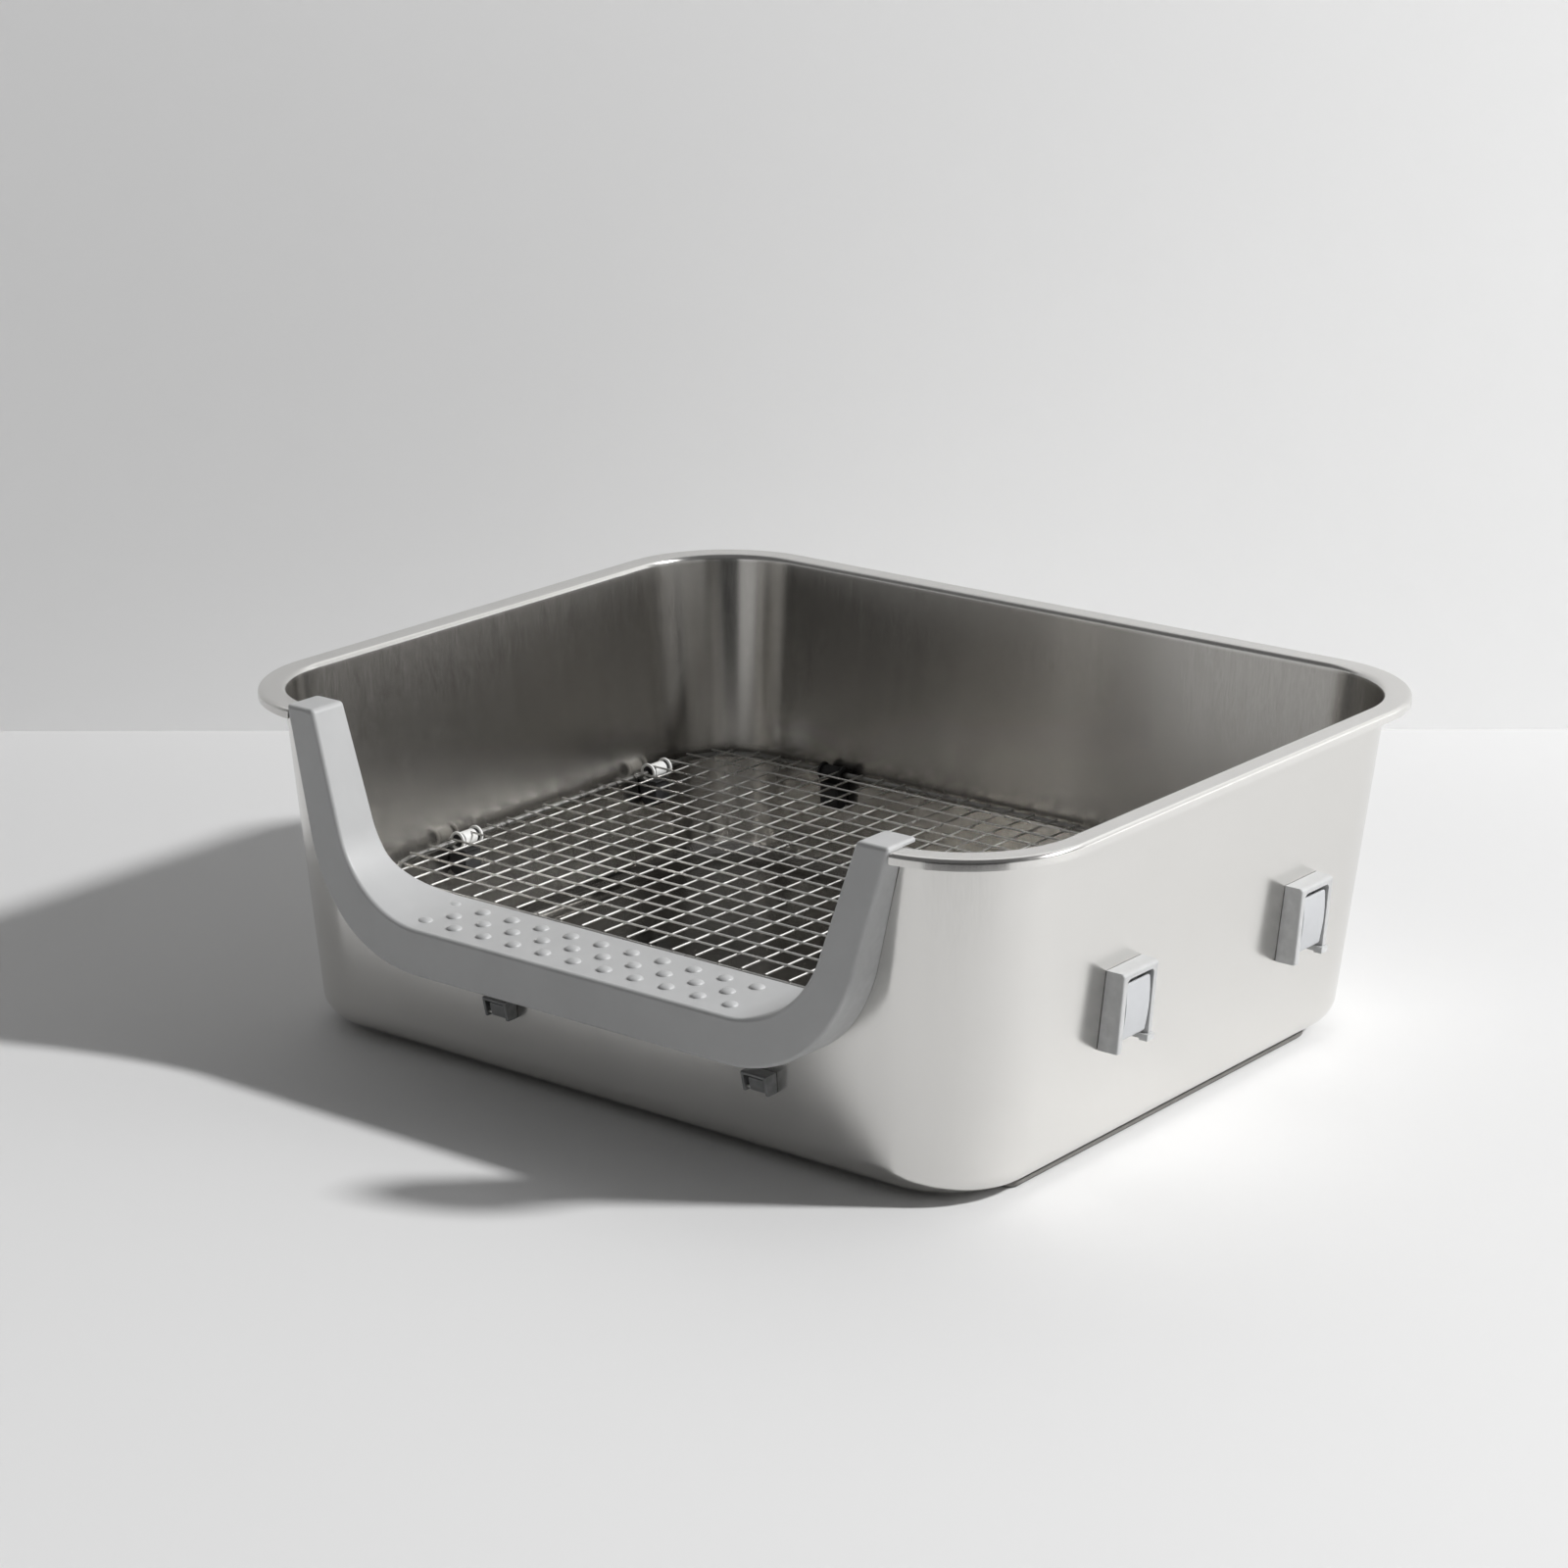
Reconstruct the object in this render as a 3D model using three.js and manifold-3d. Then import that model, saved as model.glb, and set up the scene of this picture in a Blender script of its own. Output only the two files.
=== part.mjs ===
// Small animal litter tray: a deep-drawn steel tray, a moulded entry guard over its low front,
// a lift-out wire grid, two small catches under the guard and two pairs of side latches.
// Millimetres, +Z up. The part stands on z = 0, centred on its own box.
import * as THREE from "three";
import { mergeVertices } from "three/addons/utils/BufferGeometryUtils.js";
import Module from "manifold-3d";

const wasm = await Module();
wasm.setup();

// Driving dimensions: the steel tray
const rimLength = 440;
const rimWidth = 366;
const trayHeight = 155;
const rimCornerRadius = 61;
const cornerTighteningShare = 0.75;
const flangeWidth = 10.4;
const wallTaper = 17;
const frontSetback = 6.5;
const frontTaper = wallTaper - frontSetback;
const sheet = 1.2;
const bottomRadius = 12;
const rimRoll = 2.5;
const rimEdgeRadius = 1.9;
const rimDrop = 4.6;

// Driving dimensions: the entry guard
const sillHeight = 70;
const sillHalfLength = 86.3;
const sillCornerRadius = 49;
const legFlare = THREE.MathUtils.degToRad(17.85);
const guardProudAtSill = 21.4;
const guardProudAtTop = 10.9;
const guardWall = 2.4;
const bandAtSill = 21.2;
const bandAtLegFoot = 18.4;
const bandAtLegTop = 15.5;
const bandEaseShare = 0.35;
const sillReach = 25.5;
const legReachAtFoot = 4.5;
const legReachAtTop = 8;
const reachEaseShare = 0.8;
const innerLipDrop = 9;
const guardEdge = 2;
const capThickness = 2;
const capEdge = 1.2;

// Driving dimensions: the tread bumps on the sill
const bumpRadius = 3.5;
const bumpHeight = 1.5;
const bumpPitch = 17.2;
const bumpRowPitch = 11.7;
const bumpShift = -6.1;
const bumpRowShift = -2.2;
const bumpsInOuterRow = 11;
const bumpRows = 3;
const bumpEdgeDistance = 12;
const bumpShoulderShare = 0.72;

// Driving dimensions: the wire grid
const gridHeight = 55;
const gridWallGap = 8;
const gridBackGap = 6;
const gridSillGap = 29.9;
const gridCornerRadius = 32;
const frameRod = 2.8;
const meshWire = 1.3;
const meshColumns = 20;
const meshRows = 14;

// Driving dimensions: the clips and wall pads that carry the grid
const clipLength = 14;
const clipWall = 1.8;
const clipCheek = 1.6;
const clipCheekExtra = 1;
const padLength = 11;
const padInner = 4;
const padHeight = 13;
const padChamfer = 2;
const sideClipShares = [-0.303, 0.852];
const backClipShares = [-0.73, 0.73];

// Driving dimensions: foot strips
const footHeight = 3.5;
const footWidth = 12;
const footLength = 232;
const footInset = 34;

// Driving dimensions: side latches and front catches, both a housing, a lever, a pin and a stud
const sideLatch = {
  taper: wallTaper,
  width: 26,
  bottom: 49,
  top: 85,
  proudAtTop: 9.2,
  proudAtBottom: 10.2,
  bevelOut: 1.6,
  bevelDown: 1,
  side: 3.2,
  back: 1.8,
  topBar: 3.2,
  leverTopGap: 1.8,
  leverNearGap: 0.6,
  leverFarGap: 1,
  leverThickness: 2.8,
  leverBulge: 0.9,
  leverRecess: 0.9,
  barrelRadius: 2.2,
  pinRadius: 1.1,
  pinAboveBottom: 6.4,
  heelWidth: 5,
  heelHeight: 3,
  heelProud: 1,
  heelDepth: 3,
  studRadius: 1.9,
  studHead: 3.6,
  studHeadHeight: 1,
};
const frontCatch = {
  taper: frontTaper,
  width: 13.5,
  bottom: 31,
  top: 40.2,
  proudAtTop: 7.9,
  proudAtBottom: 6.4,
  bevelOut: 0.6,
  bevelDown: 0.5,
  side: 1.4,
  back: 1.2,
  topBar: 1.4,
  leverTopGap: 0.6,
  leverNearGap: 2.4,
  leverFarGap: 0.4,
  leverThickness: 1.6,
  leverBulge: 0.3,
  leverRecess: 0.5,
  barrelRadius: 1.3,
  pinRadius: 0.65,
  pinAboveBottom: 2,
  heelHeight: 0,
  studRadius: 1,
  studHead: 1.8,
  studHeadHeight: 0.7,
};
const studCrownShare = 0.72;
const sideLatchShares = [-0.498, 0.643];
const frontCatchShares = [-0.652, 1.027];

// Clearances and facet counts
const gap = 0.3;
const overrun = 5;
const cornerSteps = 8;
const filletSteps = 4;
const sillArcSteps = 8;
const rodSides = 8;
const pinSides = 12;
const bumpSides = 8;

// Materials, with the colour and finish of the real surfaces
const steel = new THREE.MeshStandardMaterial({ color: 0xc9c8c4, roughness: 0.32, metalness: 1 });
const wireSteel = new THREE.MeshStandardMaterial({ color: 0xd2d1cd, roughness: 0.25, metalness: 1 });
const greyPlastic = new THREE.MeshStandardMaterial({ color: 0xc4c6c8, roughness: 0.45, metalness: 0 });
const palePlastic = new THREE.MeshStandardMaterial({ color: 0xd0d4d9, roughness: 0.4, metalness: 0 });
const darkPlastic = new THREE.MeshStandardMaterial({ color: 0x6f7070, roughness: 0.5, metalness: 0 });
const whitePlastic = new THREE.MeshStandardMaterial({ color: 0xe9e9e6, roughness: 0.4, metalness: 0 });
const blackRubber = new THREE.MeshStandardMaterial({ color: 0x1d1d1e, roughness: 0.8, metalness: 0 });
const greyRubber = new THREE.MeshStandardMaterial({ color: 0x77746f, roughness: 0.8, metalness: 0 });

// Solids: a closed geometry becomes a manifold solid, is cut or joined, and becomes a geometry again
function solidOf(geometry) {
  const bare = geometry.clone();
  bare.deleteAttribute("normal");
  bare.deleteAttribute("uv");
  const merged = mergeVertices(bare);
  const corners = [...merged.index.array];
  const triVerts = [];
  for (let i = 0; i < corners.length; i += 3) {
    const [a, b, c] = corners.slice(i, i + 3);
    if (a !== b && b !== c && c !== a) triVerts.push(a, b, c);
  }
  const vertProperties = new Float32Array(merged.attributes.position.array);
  const mesh = new wasm.Mesh({ numProp: 3, vertProperties, triVerts: new Uint32Array(triVerts) });
  return new wasm.Manifold(mesh);
}

function geometryOf(solid) {
  const { vertProperties, triVerts } = solid.getMesh();
  const geometry = new THREE.BufferGeometry();
  geometry.setAttribute("position", new THREE.BufferAttribute(vertProperties, 3));
  geometry.setIndex(new THREE.BufferAttribute(triVerts, 1));
  geometry.computeVertexNormals();
  return geometry;
}

const cut = (solid, ...tools) => tools.reduce((rest, tool) => rest.subtract(tool), solid);
const join = (solid, ...others) => others.reduce((sum, other) => sum.add(other), solid);

// A closed geometry with its faces turned outwards
function outward(geometry) {
  const position = geometry.attributes.position.array;
  const index = geometry.index.array;
  const corner = (i) => new THREE.Vector3().fromArray(position, index[i] * 3);
  let volume = 0;
  for (let i = 0; i < index.length; i += 3)
    volume += corner(i).dot(corner(i + 1).cross(corner(i + 2)));
  if (volume < 0)
    for (let i = 0; i < index.length; i += 3) [index[i], index[i + 1]] = [index[i + 1], index[i]];
  return geometry;
}

// The triangles that close a flat ring of points
function capOf(ring) {
  const middle = ring.reduce((sum, p) => sum.add(p), new THREE.Vector3()).divideScalar(ring.length);
  const spokes = ring.map((p) => new THREE.Vector3().subVectors(p, middle));
  const normal = new THREE.Vector3();
  spokes.forEach((p, i) => normal.add(p.clone().cross(spokes[(i + 1) % ring.length])));
  const u = new THREE.Vector3().subVectors(ring[1], ring[0]).normalize();
  const v = normal.normalize().clone().cross(u);
  const outline = spokes.map((p) => new THREE.Vector2(p.dot(u), p.dot(v)));
  return THREE.ShapeUtils.triangulateShape(outline, []);
}

// A body skinned over rings of points: its end rings are closed flat, or joined into a loop
function loft(rings, loop = false) {
  const count = rings[0].length;
  const index = [];
  const spans = loop ? rings.length : rings.length - 1;
  for (let r = 0; r < spans; r++)
    for (let i = 0; i < count; i++) {
      const a = r * count + i;
      const b = r * count + ((i + 1) % count);
      const step = (((r + 1) % rings.length) - r) * count;
      index.push(a, b, b + step, a, b + step, a + step);
    }
  if (!loop) {
    const last = (rings.length - 1) * count;
    capOf(rings[0]).forEach(([a, b, c]) => index.push(c, b, a));
    capOf(rings.at(-1)).forEach(([a, b, c]) => index.push(last + a, last + b, last + c));
  }
  const geometry = new THREE.BufferGeometry();
  const position = rings.flat().flatMap((p) => [p.x, p.y, p.z]);
  geometry.setAttribute("position", new THREE.Float32BufferAttribute(position, 3));
  geometry.setIndex(index);
  return solidOf(outward(geometry));
}

// A prism from an outline of [x, z] points, between two places along Y
function prism(outline, fromY, toY) {
  const shape = new THREE.Shape(outline.map(([x, z]) => new THREE.Vector2(x, z)));
  const geometry = new THREE.ExtrudeGeometry(shape, { depth: toY - fromY, bevelEnabled: false });
  return solidOf(geometry.rotateX(Math.PI / 2).translate(0, toY, 0));
}

function box(fromX, toX, fromY, toY, fromZ, toZ) {
  const geometry = new THREE.BoxGeometry(toX - fromX, toY - fromY, toZ - fromZ);
  return solidOf(geometry.translate((fromX + toX) / 2, (fromY + toY) / 2, (fromZ + toZ) / 2));
}

// A round rod or bore along Y, centred on Y = 0
function rodAlongY(radius, length, x, z, sides = pinSides) {
  return solidOf(new THREE.CylinderGeometry(radius, radius, length, sides).translate(x, 0, z));
}

// Points of an arc as [x, z] pairs, angles in degrees from +X towards +Z
function arc(x, z, radius, from, to, steps) {
  const points = [];
  for (let i = 0; i <= steps; i++) {
    const angle = THREE.MathUtils.degToRad(THREE.MathUtils.lerp(from, to, i / steps));
    points.push([x + radius * Math.cos(angle), z + radius * Math.sin(angle)]);
  }
  return points;
}

// How far the tray's wall stands inside the rim's outer edge at a height above the tray's underside
const wallInset = (z) => flangeWidth + wallTaper * (1 - z / trayHeight);
const innerInset = (z) => wallInset(z) + sheet;

// The front wall leans out less than the others: how far its ring's middle lies back at a height
const frontShift = (z) => (frontSetback / 2) * (z / trayHeight);

// A rounded rectangle in plan, as a ring of points
function planRing(halfLength, halfWidth, radius, z, middleY = 0) {
  const corners = [[1, 1], [-1, 1], [-1, -1], [1, -1]];
  return corners.flatMap(([sx, sy], quarter) =>
    Array.from({ length: cornerSteps + 1 }, (_, i) => {
      const angle = (Math.PI / 2) * (quarter + i / cornerSteps);
      const x = sx * (halfLength - radius) + radius * Math.cos(angle);
      const y = middleY + sy * (halfWidth - radius) + radius * Math.sin(angle);
      return new THREE.Vector3(x, y, z);
    }),
  );
}

// The steel tray's section as [inset, z], from its underside round the rim to its floor
function traySection() {
  const outerFoot = wallInset(bottomRadius) + bottomRadius;
  const innerFoot = innerInset(bottomRadius) + bottomRadius - sheet;
  const rollInset = innerInset(trayHeight) - rimRoll;
  const rollZ = trayHeight - rimRoll;
  const edgeZ = trayHeight - rimEdgeRadius;
  const bendSteps = 2;
  return [
    ...arc(outerFoot, bottomRadius, bottomRadius, 270, 180, filletSteps),
    ...arc(rollInset, rollZ, rimRoll - sheet, 0, 90, bendSteps),
    ...arc(rimEdgeRadius, edgeZ, rimEdgeRadius - sheet, 90, 180, bendSteps),
    [sheet, trayHeight - rimDrop],
    [0, trayHeight - rimDrop],
    ...arc(rimEdgeRadius, edgeZ, rimEdgeRadius, 180, 90, filletSteps),
    ...arc(rollInset, rollZ, rimRoll, 90, 0, filletSteps),
    ...arc(innerFoot, bottomRadius, bottomRadius - sheet, 180, 270, filletSteps),
  ];
}

// The guard's outline in the X-Z plane: curves at a distance outside its inner face, along the
// sill, round a corner and up a flared leg. side is 1 or -1
const sweepAngle = Math.PI / 2 - legFlare;
const cornerCentreZ = sillHeight + sillCornerRadius;
const capTop = trayHeight + gap + capThickness;
const channelTop = capTop - capThickness / 2;

function cornerPoint(distance, angle, side) {
  const radius = sillCornerRadius + distance;
  const x = sillHalfLength + radius * Math.sin(angle);
  return [side * x, cornerCentreZ - radius * Math.cos(angle)];
}

function legPoint(distance, share, side, topZ) {
  const [footX, footZ] = cornerPoint(distance, sweepAngle, 1);
  const [innerX, innerZ] = cornerPoint(0, sweepAngle, 1);
  const topX = innerX + (topZ - innerZ) * Math.tan(legFlare) + distance / Math.cos(legFlare);
  return [side * THREE.MathUtils.lerp(footX, topX, share), THREE.MathUtils.lerp(footZ, topZ, share)];
}

// The curve at one distance, from leg top to leg top
function guardCurve(distance, topZ) {
  const half = (side) => {
    const angles = Array.from({ length: sillArcSteps + 1 }, (_, i) => (sweepAngle * i) / sillArcSteps);
    const corner = angles.map((angle) => cornerPoint(distance, angle, side));
    return [...corner, legPoint(distance, 1, side, topZ)];
  };
  return [...half(-1).reverse(), ...half(1)];
}

// Where the guard's face and back stand: the back runs parallel to the tray's sloping front wall,
// and the face is steeper
const frontWallY = (z) => wallInset(z) - rimWidth / 2 + 2 * frontShift(z);
const faceAtSill = frontWallY(sillHeight) - guardProudAtSill;
const faceAtTop = frontWallY(trayHeight) - guardProudAtTop;
const faceSlope = (faceAtTop - faceAtSill) / (trayHeight - sillHeight);
const guardFaceY = (z) => faceAtSill + faceSlope * (z - sillHeight);
const guardBackY = (z, reach) => frontWallY(z) + sheet + reach;

// Stations along the guard: where each lies, its band height and how far it reaches into the tray
function guardStations() {
  const half = (side) => {
    const corner = Array.from({ length: sillArcSteps + 1 }, (_, i) => {
      const share = i / sillArcSteps;
      const bandEase = THREE.MathUtils.smoothstep(share, bandEaseShare, 1);
      const reachEase = THREE.MathUtils.smoothstep(share, 0, reachEaseShare);
      return {
        at: (distance) => cornerPoint(distance, sweepAngle * share, side),
        band: THREE.MathUtils.lerp(bandAtSill, bandAtLegFoot, bandEase),
        reach: THREE.MathUtils.lerp(sillReach, legReachAtFoot, reachEase),
      };
    });
    const legShares = [0.5, 1];
    const leg = legShares.map((share) => ({
      at: (distance) => legPoint(distance, share, side, channelTop),
      band: THREE.MathUtils.lerp(bandAtLegFoot, bandAtLegTop, share),
      reach: THREE.MathUtils.lerp(legReachAtFoot, legReachAtTop, share),
    }));
    return [...corner, ...leg];
  };
  return [...half(-1).reverse(), ...half(1)];
}

// A rounded edge is three points: the middle one lies this share of the radius off each face
const bendShare = 0.29;

// One section of the guard's channel: face, outer return to the wall, web and inner lip
function channelRing({ at, band, reach }) {
  const point = (distance, yOf) => {
    const [x, z] = at(distance);
    return new THREE.Vector3(x, yOf(z), z);
  };
  const face = (depth) => (z) => guardFaceY(z) + depth;
  const back = (depth) => (z) => guardBackY(z, reach) - depth;
  const wall = (z) => frontWallY(z) - gap;
  const bend = guardEdge * bendShare;
  return [
    point(0, face(guardEdge)),
    point(bend, face(bend)),
    point(guardEdge, face(0)),
    point(band - guardEdge, face(0)),
    point(band - bend, face(bend)),
    point(band, face(guardEdge)),
    point(band, wall),
    point(band - guardWall, wall),
    point(band - guardWall, face(guardWall)),
    point(guardWall, face(guardWall)),
    point(guardWall, back(guardWall)),
    point(innerLipDrop, back(guardWall)),
    point(innerLipDrop, back(0)),
    point(guardEdge, back(0)),
    point(bend, back(bend)),
    point(0, back(guardEdge)),
  ];
}

// The solid cap on top of a leg, drawn in a little at its top edge
function legCap(side) {
  const bend = guardEdge * bendShare;
  const ring = (z, inset) => {
    const inner = legPoint(0, 1, 1, z)[0] + inset;
    const outer = legPoint(bandAtLegTop, 1, 1, z)[0] - inset;
    const face = guardFaceY(z) + inset;
    const back = guardBackY(z, legReachAtTop) - inset;
    const outline = [
      [inner, face + guardEdge],
      [inner + bend, face + bend],
      [inner + guardEdge, face],
      [outer - guardEdge, face],
      [outer - bend, face + bend],
      [outer, face + guardEdge],
      [outer, back - guardEdge],
      [outer - bend, back - bend],
      [outer - guardEdge, back],
      [inner + guardEdge, back],
      [inner + bend, back - bend],
      [inner, back - guardEdge],
    ];
    return outline.map(([x, y]) => new THREE.Vector3(side * x, y, z));
  };
  const bevel = capEdge * bendShare;
  return loft([
    ring(capTop - capThickness, 0),
    ring(capTop - capEdge, 0),
    ring(capTop - bevel, bevel),
    ring(capTop, capEdge),
  ]);
}

// A low round bump, rooted in the sill's skin
function bump(x, y) {
  const root = guardWall / 2;
  const profile = [
    new THREE.Vector2(0, -root),
    new THREE.Vector2(bumpRadius, -root),
    new THREE.Vector2(bumpRadius, 0),
    new THREE.Vector2(bumpRadius * bumpShoulderShare, bumpHeight * bumpShoulderShare),
    new THREE.Vector2(0, bumpHeight),
  ];
  const geometry = new THREE.LatheGeometry(profile, bumpSides).rotateX(Math.PI / 2);
  return solidOf(outward(geometry.translate(x, y, sillHeight)));
}

function treadBumps() {
  const bumps = [];
  for (let row = 0; row < bumpRows; row++) {
    const count = bumpsInOuterRow - (row % 2);
    const y = guardFaceY(sillHeight) + bumpEdgeDistance + row * bumpRowPitch;
    const middle = bumpShift + row * bumpRowShift;
    for (let i = 0; i < count; i++) bumps.push(bump(middle + (i - (count - 1) / 2) * bumpPitch, y));
  }
  return bumps;
}

function entryGuard() {
  const channel = loft(guardStations().map(channelRing));
  return join(channel, legCap(1), legCap(-1), ...treadBumps());
}

// Latches, catches and clips stand at shares of these: half of each wall's straight stretch
// between the rounded corners, and half of the sill
const sideStraight = rimWidth / 2 - rimCornerRadius;
const endStraight = rimLength / 2 - rimCornerRadius;
const sideLatchAlong = sideLatchShares.map((share) => share * sideStraight);
const frontCatchAlong = frontCatchShares.map((share) => share * sillHalfLength);
const sideClipAlong = sideClipShares.map((share) => share * sideStraight);
const backClipAlong = backClipShares.map((share) => share * endStraight);

// Frames on the tray's walls: X points out of the tray with 0 at the wall's line at rim height,
// Y runs along the wall, and Z is the height above the tray's underside
const wallX = (z, taper) => taper * (z / trayHeight - 1);
const sideFrame = rimLength / 2 - flangeWidth;
const endFrame = rimWidth / 2 - flangeWidth;
const wallFrames = {
  right: { turn: 0, x: sideFrame, y: 0 },
  back: { turn: Math.PI / 2, x: 0, y: endFrame },
  left: { turn: Math.PI, x: -sideFrame, y: 0 },
  front: { turn: -Math.PI / 2, x: 0, y: frontSetback - endFrame },
};

// A latch's own places, from its values. Its face leans with the wall
function latchPlaces(latch) {
  const wall = (z) => wallX(z, latch.taper);
  const lowFace = wall(latch.bottom) + latch.proudAtBottom;
  const highFace = wall(latch.top) + latch.proudAtTop;
  const rise = latch.top - latch.bottom;
  const face = (z) => THREE.MathUtils.lerp(lowFace, highFace, (z - latch.bottom) / rise);
  const windowTop = latch.top - latch.topBar;
  const pinZ = latch.bottom + latch.pinAboveBottom;
  return {
    wall,
    face,
    windowTop,
    windowHalf: latch.width / 2 - latch.side,
    leverTop: windowTop - latch.leverTopGap,
    pinX: face(pinZ) - latch.leverRecess - latch.barrelRadius,
    pinZ,
    studZ: (pinZ + windowTop) / 2,
  };
}

// The small block at the foot of the housing's far pillar
function latchHeel(latch, hand) {
  const { face } = latchPlaces(latch);
  const { bottom, heelHeight, heelProud, heelDepth } = latch;
  const far = latch.width / 2;
  const near = far - latch.heelWidth;
  const outline = [
    [face(bottom) - heelDepth, bottom],
    [face(bottom) + heelProud, bottom],
    [face(bottom + heelHeight) + heelProud, bottom + heelHeight],
    [face(bottom) - heelDepth, bottom + heelHeight],
  ];
  return prism(outline, ...(hand > 0 ? [near, far] : [-far, -near]));
}

// The housing: an inverted U on a back plate, bevelled at its top edge, open at its foot
function latchHousing(latch, hand) {
  const { wall, face, windowTop, windowHalf, pinX, pinZ } = latchPlaces(latch);
  const outline = [
    [wall(latch.bottom) + gap, latch.bottom],
    [face(latch.bottom), latch.bottom],
    [face(latch.top - latch.bevelDown), latch.top - latch.bevelDown],
    [face(latch.top) - latch.bevelOut, latch.top],
    [wall(latch.top) + gap, latch.top],
  ];
  const plate = gap + latch.back;
  const bore = latch.studRadius + gap;
  const windowFoot = latch.bottom - overrun;
  const window = [
    [wall(windowFoot) + plate, windowFoot],
    [face(windowFoot) + overrun, windowFoot],
    [face(windowTop) + overrun, windowTop],
    [wall(windowTop) + plate, windowTop],
  ];
  const cased = cut(
    prism(outline, -latch.width / 2, latch.width / 2),
    prism(window, -windowHalf, windowHalf),
    rodAlongY(latch.pinRadius + gap, latch.width + overrun, pinX, pinZ),
    onStudAxis(latch, [[0, -overrun], [bore, -overrun], [bore, overrun], [0, overrun]]),
  );
  return latch.heelHeight ? join(cased, latchHeel(latch, hand)) : cased;
}

// The lever: a barrel round the pin and a slightly crowned finger plate above it
function latchLever(latch, hand) {
  const { face, windowHalf, leverTop, pinX, pinZ } = latchPlaces(latch);
  const radius = latch.barrelRadius;
  const front = (z) => face(z) - latch.leverRecess;
  const back = (z) => front(z) - latch.leverThickness;
  const crownShares = [0.25, 0.5, 0.75];
  const crown = crownShares.map((share) => {
    const z = THREE.MathUtils.lerp(pinZ, leverTop, share);
    return [front(z) + latch.leverBulge * Math.sin(Math.PI * share), z];
  });
  const bend = latch.leverThickness * bendShare;
  const outline = [
    ...arc(pinX, pinZ, radius, 180, 360, filletSteps * 2),
    ...crown,
    [front(leverTop - bend), leverTop - bend],
    [front(leverTop) - bend, leverTop],
    [back(leverTop), leverTop],
    [back(pinZ + radius), pinZ + radius],
  ];
  const near = windowHalf - latch.leverNearGap;
  const far = windowHalf - latch.leverFarGap;
  return cut(
    prism(outline, ...(hand > 0 ? [-near, far] : [-far, near])),
    rodAlongY(latch.pinRadius + gap, latch.width, pinX, pinZ),
  );
}

function latchPin(latch) {
  const { pinX, pinZ } = latchPlaces(latch);
  return rodAlongY(latch.pinRadius, latch.width - 2 * gap, pinX, pinZ);
}

// A body of revolution on the stud's axis, square to the wall: the profile is [radius, outwards],
// with 0 outwards at the wall's outer face
function onStudAxis(latch, profile) {
  const { wall, studZ } = latchPlaces(latch);
  const lean = Math.atan(latch.taper / trayHeight);
  const points = profile.map(([radius, out]) => new THREE.Vector2(radius, out));
  const geometry = new THREE.LatheGeometry(points, pinSides).rotateZ(-Math.PI / 2);
  return solidOf(outward(geometry.rotateY(lean).translate(wall(studZ), 0, studZ)));
}

// The stud is welded to the wall's outer face, and its head holds the housing's back plate
function latchStud(latch) {
  const { studRadius: shank, studHead: head, studHeadHeight: height } = latch;
  const seat = 2 * gap + latch.back;
  return onStudAxis(latch, [
    [0, gap],
    [shank, gap],
    [shank, seat],
    [head, seat],
    [head * studCrownShare, seat + height],
    [0, seat + height],
  ]);
}

// The wire grid: a round frame rod and a welded mesh on top of it
const gridSide = rimLength / 2 - innerInset(gridHeight) - gridWallGap;
const gridBackY = rimWidth / 2 - innerInset(gridHeight) - gridBackGap;
const gridFrontY = guardBackY(sillHeight, sillReach) + gridSillGap;
const gridMiddleY = (gridBackY + gridFrontY) / 2;
const gridHalfWidth = (gridBackY - gridFrontY) / 2;
const meshFoot = gridHeight + frameRod / 2 + gap;

function gridFrame() {
  const path = planRing(gridSide, gridHalfWidth, gridCornerRadius, gridHeight);
  const rings = path.map((p, i) => {
    const before = path.at(i - 1);
    const after = path[(i + 1) % path.length];
    const square = new THREE.Vector3().subVectors(after, before).normalize();
    const across = new THREE.Vector3(square.y, -square.x, 0);
    return arc(0, 0, frameRod / 2, 0, 360, rodSides)
      .slice(1)
      .map(([out, up]) => p.clone().addScaledVector(across, out).add(new THREE.Vector3(0, 0, up)));
  });
  return loft(rings, true).translate([0, gridMiddleY, 0]);
}

// Clips and pads have the frame of the wall that they stand at, with X = 0 at the frame rod
const clipHalf = frameRod / 2 + gap + clipWall;
const clipReach = clipHalf + clipCheekExtra;
const clipPlaces = [
  ...sideClipAlong.map((along) => ({ wall: "right", x: gridSide, y: along })),
  ...sideClipAlong.map((along) => ({ wall: "left", x: -gridSide, y: along })),
  ...backClipAlong.map((along) => ({ wall: "back", x: along, y: gridBackY })),
];

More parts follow.
